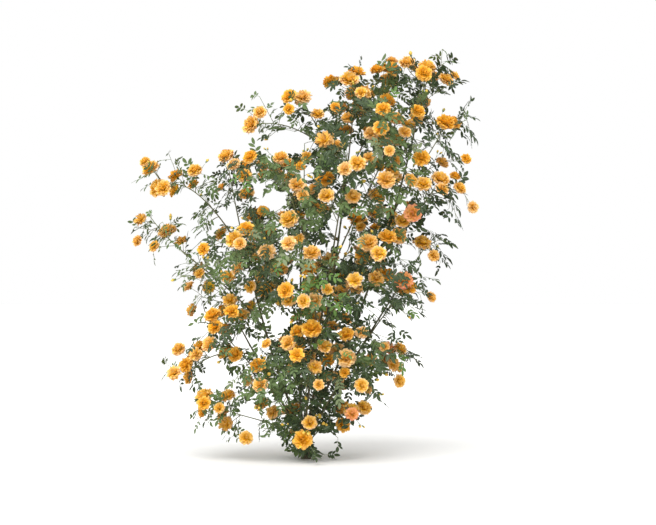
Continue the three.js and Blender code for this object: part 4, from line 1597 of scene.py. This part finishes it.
def leaf_material(name, blade, vein):
    """Rose leaf: a satin blade, patchy in shade, with a pale midrib and side veins in low relief."""
    material, tree, shader = new_material(name, LEAF_ROUGHNESS)
    add = functools.partial(add_node, tree)
    flat, across, along = map_axes(tree)
    centred = add("ShaderNodeMath", [across, 0.5], operation="SUBTRACT")
    off_rib = add("ShaderNodeMath", [centred], operation="ABSOLUTE")
    rib = add("ShaderNodeMapRange", [off_rib, 0.0, RIB_HALF, RIB_STRENGTH, 0.0])
    # the side veins stand about 6 mm apart on a full leaflet
    slant = add("ShaderNodeMath", [off_rib, VEIN_SLANT, along], operation="MULTIPLY_ADD")
    beat = add("ShaderNodeMath", [slant, 1 / (2 * VEIN_PAIRS)], operation="PINGPONG")
    side_vein = add("ShaderNodeMapRange", [beat, 0.0, VEIN_HALF, VEIN_STRENGTH, 0.0])
    veins = add("ShaderNodeMath", [rib, side_vein], operation="MAXIMUM")
    ground = mottled(tree, blade, flat, LEAF_PATCHES, LEAF_SHADES)
    veined = add("ShaderNodeMix", {"Factor": veins, 6: ground, 7: solid(vein)}, data_type="RGBA")
    tree.links.new(veined.outputs[2], shader.inputs["Base Color"])
    shader.inputs["Specular IOR Level"].default_value = LEAF_SPECULAR
    relief = {"Strength": VEIN_BUMP, "Distance": VEIN_HEIGHT, "Height": veins}
    bump = add("ShaderNodeBump", relief, invert=True)
    tree.links.new(bump.outputs[0], shader.inputs["Normal"])
    return material


def petal_material(name, heart, body, edge):
    """Rose petal: soft, velvety and matt, deep gold at the foot and paler to the edge, finely streaked. The
    deep foot is partly painted shade and the pale edge partly painted light.
    """
    material, tree, shader = new_material(name, PETAL_ROUGHNESS)
    add = functools.partial(add_node, tree)
    flat, strip, along = map_axes(tree)
    # the deep gold foot is partly the petal's own colour, partly painted shade deep in the bloom
    deep_foot_and_shade = add("ShaderNodeMapRange", [along, *HEART_AND_SHADE_FADE])
    ground = add("ShaderNodeMix", {"Factor": deep_foot_and_shade, 6: solid(heart), 7: solid(body)}, data_type="RGBA")
    # the pale edge, more of it on outer petals, is partly the petal's own colour, partly painted light on
    # the bloom's lit outside
    rim_and_light = add("ShaderNodeMapRange", [along, *EDGE_AND_LIGHT_FADE])
    outer_and_light = add("ShaderNodeMapRange", [strip, *OUTER_AND_LIGHT_FADE])
    paling_and_painted_light = add("ShaderNodeMath", [rim_and_light, outer_and_light], operation="MULTIPLY")
    edging = {"Factor": paling_and_painted_light, 6: ground.outputs[2], 7: solid(edge)}
    edged = add("ShaderNodeMix", edging, data_type="RGBA")
    # the streaks are about 2 mm apart, as fine as the render can show
    stretched = add("ShaderNodeVectorMath", [flat, PETAL_STREAKS], operation="MULTIPLY")
    streaked = mottled(tree, edged.outputs[2], stretched, 1.0, PETAL_SHADES)
    tree.links.new(streaked, shader.inputs["Base Color"])
    shader.inputs["Specular IOR Level"].default_value = PETAL_SPECULAR
    return material


def graded_material(name, foot, tip, roughness):
    """Green wood, stalk, sepal, furled petal or horn: one colour at the foot that turns to another at the
    tip, with flecks along it."""
    material, tree, shader = new_material(name, roughness)
    flat, _, along = map_axes(tree)
    grading = {"Factor": along, 6: solid(foot), 7: solid(tip)}
    graded = add_node(tree, "ShaderNodeMix", grading, data_type="RGBA")
    flecked = mottled(tree, graded.outputs[2], flat, FLECKS, FLECK_SHADES)
    tree.links.new(flecked, shader.inputs["Base Color"])
    return material


def bark_material(name, old, young, crack):
    """Rose bark: matt and cracked lengthwise, grey-brown at the foot and olive green higher up."""
    material, tree, shader = new_material(name, BARK_ROUGHNESS)
    add = functools.partial(add_node, tree)
    place = add("ShaderNodeTexCoord").outputs["Object"]
    height = add("ShaderNodeSeparateXYZ", [place]).outputs[2]
    patches = add("ShaderNodeTexNoise", {"Vector": place, "Scale": BARK_PATCHES, "Detail": 3.0})
    ragged = add("ShaderNodeMath", [patches, BARK_RAGGED, height], operation="MULTIPLY_ADD")
    youth = add("ShaderNodeMapRange", [ragged, *YOUNG_BARK])
    ground = add("ShaderNodeMix", {"Factor": youth, 6: solid(old), 7: solid(young)}, data_type="RGBA")
    # the cracks run lengthwise, about 3 mm apart
    stretched = add("ShaderNodeVectorMath", [place, BARK_CRACKS], operation="MULTIPLY")
    grain = add("ShaderNodeTexNoise", {"Vector": stretched, "Scale": 1.0, "Detail": 4.0})
    depth = add("ShaderNodeMapRange", [grain, *CRACK_SHADE])
    cracking = {"Factor": depth, 6: ground.outputs[2], 7: solid(crack)}
    cracked = add("ShaderNodeMix", cracking, data_type="RGBA")
    tree.links.new(cracked.outputs[2], shader.inputs["Base Color"])
    bump = add("ShaderNodeBump", {"Strength": CRACK_BUMP, "Distance": CRACK_HEIGHT, "Height": grain})
    tree.links.new(bump.outputs[0], shader.inputs["Normal"])
    return material


def nodes_named(start):
    """The solids whose names start with a word."""
    return [node for node in frame["nodes"] if node.startswith(start)]


def hand_over(piece, nodes=()):
    """Keeps a finished piece above ground, and sets it on the plant's one body in place of its solids."""
    places = np.zeros((len(piece.data.vertices), 3), np.float32)
    piece.data.vertices.foreach_get("co", places.ravel())
    places[:, 2] = np.maximum(places[:, 2], 0)
    piece.data.vertices.foreach_set("co", places.ravel())
    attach(piece, "root")
    if nodes:
        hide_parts(*nodes)


def set_floor(scene):
    """Lays a wide floor, plain, pale and matt."""
    material, _, shader = new_material("Pale floor", FLOOR_ROUGHNESS)
    shader.inputs["Base Color"].default_value = solid(scene.rose_colours.floor)
    mesh = bpy.data.meshes.new("floor")
    signs = ((-1, -1), (1, -1), (1, 1), (-1, 1))
    corners = [(x * FLOOR_HALF, y * FLOOR_HALF, -FLOOR_SUNK) for x, y in signs]
    mesh.from_pydata(corners, [], [(0, 1, 2, 3)])
    mesh.materials.append(material)
    floor = bpy.data.objects.new("floor", mesh)
    scene.collection.objects.link(floor)


def set_light(scene):
    """Lights the plant by a white room, which the camera sees as pure white, and by a soft sun."""
    world = bpy.data.worlds.new("Soft white room")
    world.use_nodes = True
    tree = world.node_tree
    sky = tree.nodes["Background"]
    sky.inputs["Color"].default_value = solid((1.0, 1.0, 1.0))
    seen = add_node(tree, "ShaderNodeLightPath").outputs["Is Camera Ray"]
    strength = add_node(tree, "ShaderNodeMapRange", [seen, 0.0, 1.0, ROOM_LIGHT, 1.0])
    tree.links.new(strength.outputs[0], sky.inputs["Strength"])
    scene.world = world
    lamp = bpy.data.lights.new("sun", "SUN")
    lamp.energy, lamp.angle = SUN_LIGHT, SUN_SPREAD
    sun = bpy.data.objects.new("sun", lamp)
    sun.rotation_euler = Vector(LIGHT_WAY).to_track_quat("-Z", "Y").to_euler()
    scene.collection.objects.link(sun)


def set_camera(scene):
    """Sets a level camera where the viewer stands."""
    camera = bpy.data.cameras.new("camera")
    camera.lens, camera.sensor_width = LENS, SENSOR
    eye = bpy.data.objects.new("camera", camera)
    eye.location = [part * MM for part in VIEW_FROM]
    eye.rotation_euler = (math.radians(90), 0, 0)
    scene.collection.objects.link(eye)
    scene.camera = eye


class ROSE_OT_stem(Operator):
    """Make the barked stem"""

    bl_idname = "rose.stem"
    bl_label = "Stem"

    def execute(self, context):
        sizes, colours = context.scene.rose_sizes, context.scene.rose_colours
        bark = bark_material("Rose bark, old wood", colours.bark_old, colours.bark_old, colours.bark_crack)
        _, line, radii = grown(context).skeleton.limbs["stem"].drawn(STEM_STEPS)
        relief = sizes.bark_relief * STEM_RELIEF
        piece = limbs_on("rose_stem", [(line, radii)], sizes.stem_sides, bark, relief, STEM_RIDGES)
        hand_over(piece, ["stem"])
        return {"FINISHED"}


class ROSE_OT_canes(Operator):
    """Make the canes, with bark in relief and a swelling at each old leaf scar"""

    bl_idname = "rose.canes"
    bl_label = "Canes"

    def execute(self, context):
        sizes, colours = context.scene.rose_sizes, context.scene.rose_colours
        bark = bark_material("Rose bark, canes", colours.bark_old, colours.bark_young, colours.bark_crack)
        lines = []
        for cane in grown(context).skeleton.canes():
            steps = max(round(cane.bow.length / CANE_STEP), CANE_STEPS_LEAST)
            shares, line, radii = cane.drawn(steps)
            off_scar = (shares * cane.bow.length + SCAR_OFFSET) % SCAR_SPACING - SCAR_SPACING / 2
            scars = SCAR_HEIGHT * np.exp(-((off_scar / SCAR_HALF) ** 2))
            lines.append((line, radii * CANE_SLIM + scars))
        piece = limbs_on("rose_canes", lines, sizes.cane_sides, bark, sizes.bark_relief, CANE_RIDGES)
        hand_over(piece, nodes_named("cane_"))
        return {"FINISHED"}


class ROSE_OT_prickles(Operator):
    """Set hooked prickles along the canes"""

    bl_idname = "rose.prickles"
    bl_label = "Prickles"

    def execute(self, context):
        sizes, colours = context.scene.rose_sizes, context.scene.rose_colours
        horn = graded_material("Prickle horn", colours.prickle, colours.prickle_point, SMOOTH_ROUGHNESS)
        draw = seeded(PRICKLE_SEED)
        places, turns, scales, kinds = [], [], [], []
        for cane in grown(context).skeleton.canes():
            run = cane.bow.length * MM
            for k in range(int(run / sizes.prickle_spacing)):
                share = (k + draw()) * sizes.prickle_spacing / run
                if not PRICKLES_FROM <= share <= PRICKLES_TO:
                    continue
                way = cane.bow.way(share)
                out = sideways(way, k * GOLDEN_ANGLE + draw())
                places.append(cane.bow.at(share) + out * cane.radius_at(share) * PRICKLE_SEAT)
                turns.append((np.cross(way, out), way, out))
                scales.append(sizes.prickle_length * between(PRICKLE_SIZES, draw()))
                kinds.append(int(draw() * len(PRICKLE_HOOKS)))
        meshes = [prickle_mesh(f"prickle_{n}", hook) for n, hook in enumerate(PRICKLE_HOOKS)]
        shapes = shape_set("prickle", meshes)
        piece = copies_on("rose_prickles", shapes, places, turns, scales, kinds, horn)
        drop_shapes(shapes)
        hand_over(piece)
        return {"FINISHED"}


class ROSE_OT_leaves(Operator):
    """Make the leaves, each of five or seven leaflets, one piece for each tint"""

    bl_idname = "rose.leaves"
    bl_label = "Leaves"

    def execute(self, context):
        sizes, colours = context.scene.rose_sizes, context.scene.rose_colours
        wide = sizes.leaflet_width / sizes.leaflet_length
        meshes = [leaflet_mesh(f"leaflet_{name}", wide, **shape) for name, shape in LEAFLET_SHAPES.items()]
        shapes = shape_set("leaflet", meshes)
        for tint, leaflets in grown(context).leaflets.items():
            satin = leaf_material(f"Rose leaf, {tint}", getattr(colours, "leaf_" + tint), colours.leaf_vein)
            places, turns, scales, kinds = zip(*leaflets)
            piece = copies_on("rose_leaves_" + tint, shapes, places, turns, scales, kinds, satin)
            hand_over(piece)
        drop_shapes(shapes)
        return {"FINISHED"}


class ROSE_OT_twigs(Operator):
    """Make the twigs, and the stalks of leaves and buds"""

    bl_idname = "rose.twigs"
    bl_label = "Twigs and stalks"

    def execute(self, context):
        colours, plant = context.scene.rose_colours, grown(context)
        wood = graded_material("Green rose wood", colours.twig_foot, colours.twig_tip, TWIG_ROUGHNESS)
        stalk = graded_material("Leaf stalk", colours.twig_tip, colours.leaf_fresh, STALK_ROUGHNESS)
        piece = limbs_on("rose_twigs", plant.twig_lines, TWIG_SIDES, wood)
        hand_over(piece, nodes_named("spray_"))
        piece = limbs_on("rose_stalks", plant.stalks + plant.bud_stalks, STALK_SIDES, stalk)
        hand_over(piece)
        return {"FINISHED"}


class ROSE_OT_blooms(Operator):
    """Make the double blooms, one piece for each tint of petal"""

    bl_idname = "rose.blooms"
    bl_label = "Blooms"

    def execute(self, context):
        colours, blooms = context.scene.rose_colours, grown(context).blooms
        meshes = [
            bloom_mesh(f"bloom_{name}", BLOOM_SEED + n, **BLOOM_KINDS[name])
            for n, name in enumerate(KIND_NAMES)
        ]
        shapes = shape_set("bloom", meshes)
        for tint in [*PETAL_ODDS, "pink"]:
            chosen = [bloom for bloom in blooms if bloom.tint == tint]
            body, edge = getattr(colours, "petal_" + tint), getattr(colours, f"petal_{tint}_edge")
            velvet = petal_material(f"Rose petal, {tint}", colours.petal_heart, body, edge)
            piece = copies_on(
                "rose_petals_" + tint,
                shapes,
                [bloom.seat for bloom in chosen],
                [facing_ways(bloom.facing, bloom.roll) for bloom in chosen],
                [bloom.radius * MM for bloom in chosen],
                [KIND_NAMES.index(bloom.kind) for bloom in chosen],
                velvet,
            )
            hand_over(piece)
        drop_shapes(shapes)
        return {"FINISHED"}


class ROSE_OT_buds(Operator):
    """Make the buds, and the green cups and sepals of buds and blooms"""

    bl_idname = "rose.buds"
    bl_label = "Buds and sepals"

    def execute(self, context):
        sizes, colours = context.scene.rose_sizes, context.scene.rose_colours
        gold = graded_material("Furled petal", colours.bud_young, colours.bud, SMOOTH_ROUGHNESS)
        green = graded_material("Rose sepal", colours.sepal, colours.leaf_fresh, SMOOTH_ROUGHNESS)
        buds, blooms = grown(context).buds, grown(context).blooms
        places = [seat for seat, _, _, _ in buds]
        turns = [facing_ways(facing, roll) for _, facing, _, roll in buds]
        scales = [sizes.bud_length * share for _, _, share, _ in buds]
        kinds = [int(roll * ROLL_TENTHS) % len(BUD_SHAPES) for _, _, _, roll in buds]
        meshes = [bud_mesh(f"bud_{name}", **shape) for name, shape in BUD_SHAPES.items()]
        shapes = shape_set("bud", meshes)
        piece = copies_on("rose_buds", shapes, places, turns, scales, kinds, gold)
        hand_over(piece)
        drop_shapes(shapes)
        places = [bloom.seat for bloom in blooms] + places
        turns = [facing_ways(bloom.facing, bloom.roll) for bloom in blooms] + turns
        scales = [bloom.radius * MM for bloom in blooms] + scales
        kinds = [0] * len(blooms) + [1] * len(buds)
        meshes = [calyx_mesh(f"cup_{name}", **shape) for name, shape in CUP_SHAPES.items()]
        shapes = shape_set("cup", meshes)
        piece = copies_on("rose_sepals", shapes, places, turns, scales, kinds, green)
        hand_over(piece)
        drop_shapes(shapes)
        return {"FINISHED"}


class ROSE_OT_stage(Operator):
    """Set the pale floor, the soft light and the camera"""

    bl_idname = "rose.stage"
    bl_label = "Stage"

    def execute(self, context):
        context.scene.view_settings.view_transform = "Standard"
        set_floor(context.scene)
        set_light(context.scene)
        set_camera(context.scene)
        return {"FINISHED"}


STEPS = (
    ROSE_OT_stem,
    ROSE_OT_canes,
    ROSE_OT_prickles,
    ROSE_OT_leaves,
    ROSE_OT_twigs,
    ROSE_OT_blooms,
    ROSE_OT_buds,
    ROSE_OT_stage,
)


class VIEW3D_PT_rose(Panel):
    """Lists the rose's sizes, colours and steps"""

    bl_idname = "VIEW3D_PT_rose"
    bl_label = "Climbing rose"
    bl_space_type = "VIEW_3D"
    bl_region_type = "UI"
    bl_category = "Rose"

    def draw(self, context):
        for group in (context.scene.rose_sizes, context.scene.rose_colours):
            box = self.layout.box()
            for name in group.bl_rna.properties.keys():
                if name not in ("rna_type", "name"):
                    box.prop(group, name)
        for step in STEPS:
            self.layout.operator(step.bl_idname)


CLASSES = (RoseSizes, RoseColours, *STEPS, VIEW3D_PT_rose)


def register():
    """Registers the classes and hangs their settings on the scene."""
    for cls in CLASSES:
        bpy.utils.register_class(cls)
    bpy.types.Scene.rose_sizes = PointerProperty(type=RoseSizes)
    bpy.types.Scene.rose_colours = PointerProperty(type=RoseColours)


def unregister():
    """Takes the settings and classes away again."""
    del bpy.types.Scene.rose_colours
    del bpy.types.Scene.rose_sizes
    for cls in reversed(CLASSES):
        bpy.utils.unregister_class(cls)


def main():
    """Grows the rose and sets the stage."""
    register()
    bpy.ops.rose.stem()
    bpy.ops.rose.canes()
    bpy.ops.rose.prickles()
    bpy.ops.rose.leaves()
    bpy.ops.rose.twigs()
    bpy.ops.rose.blooms()
    bpy.ops.rose.buds()
    bpy.ops.rose.stage()


if __name__ == "__main__":
    main()
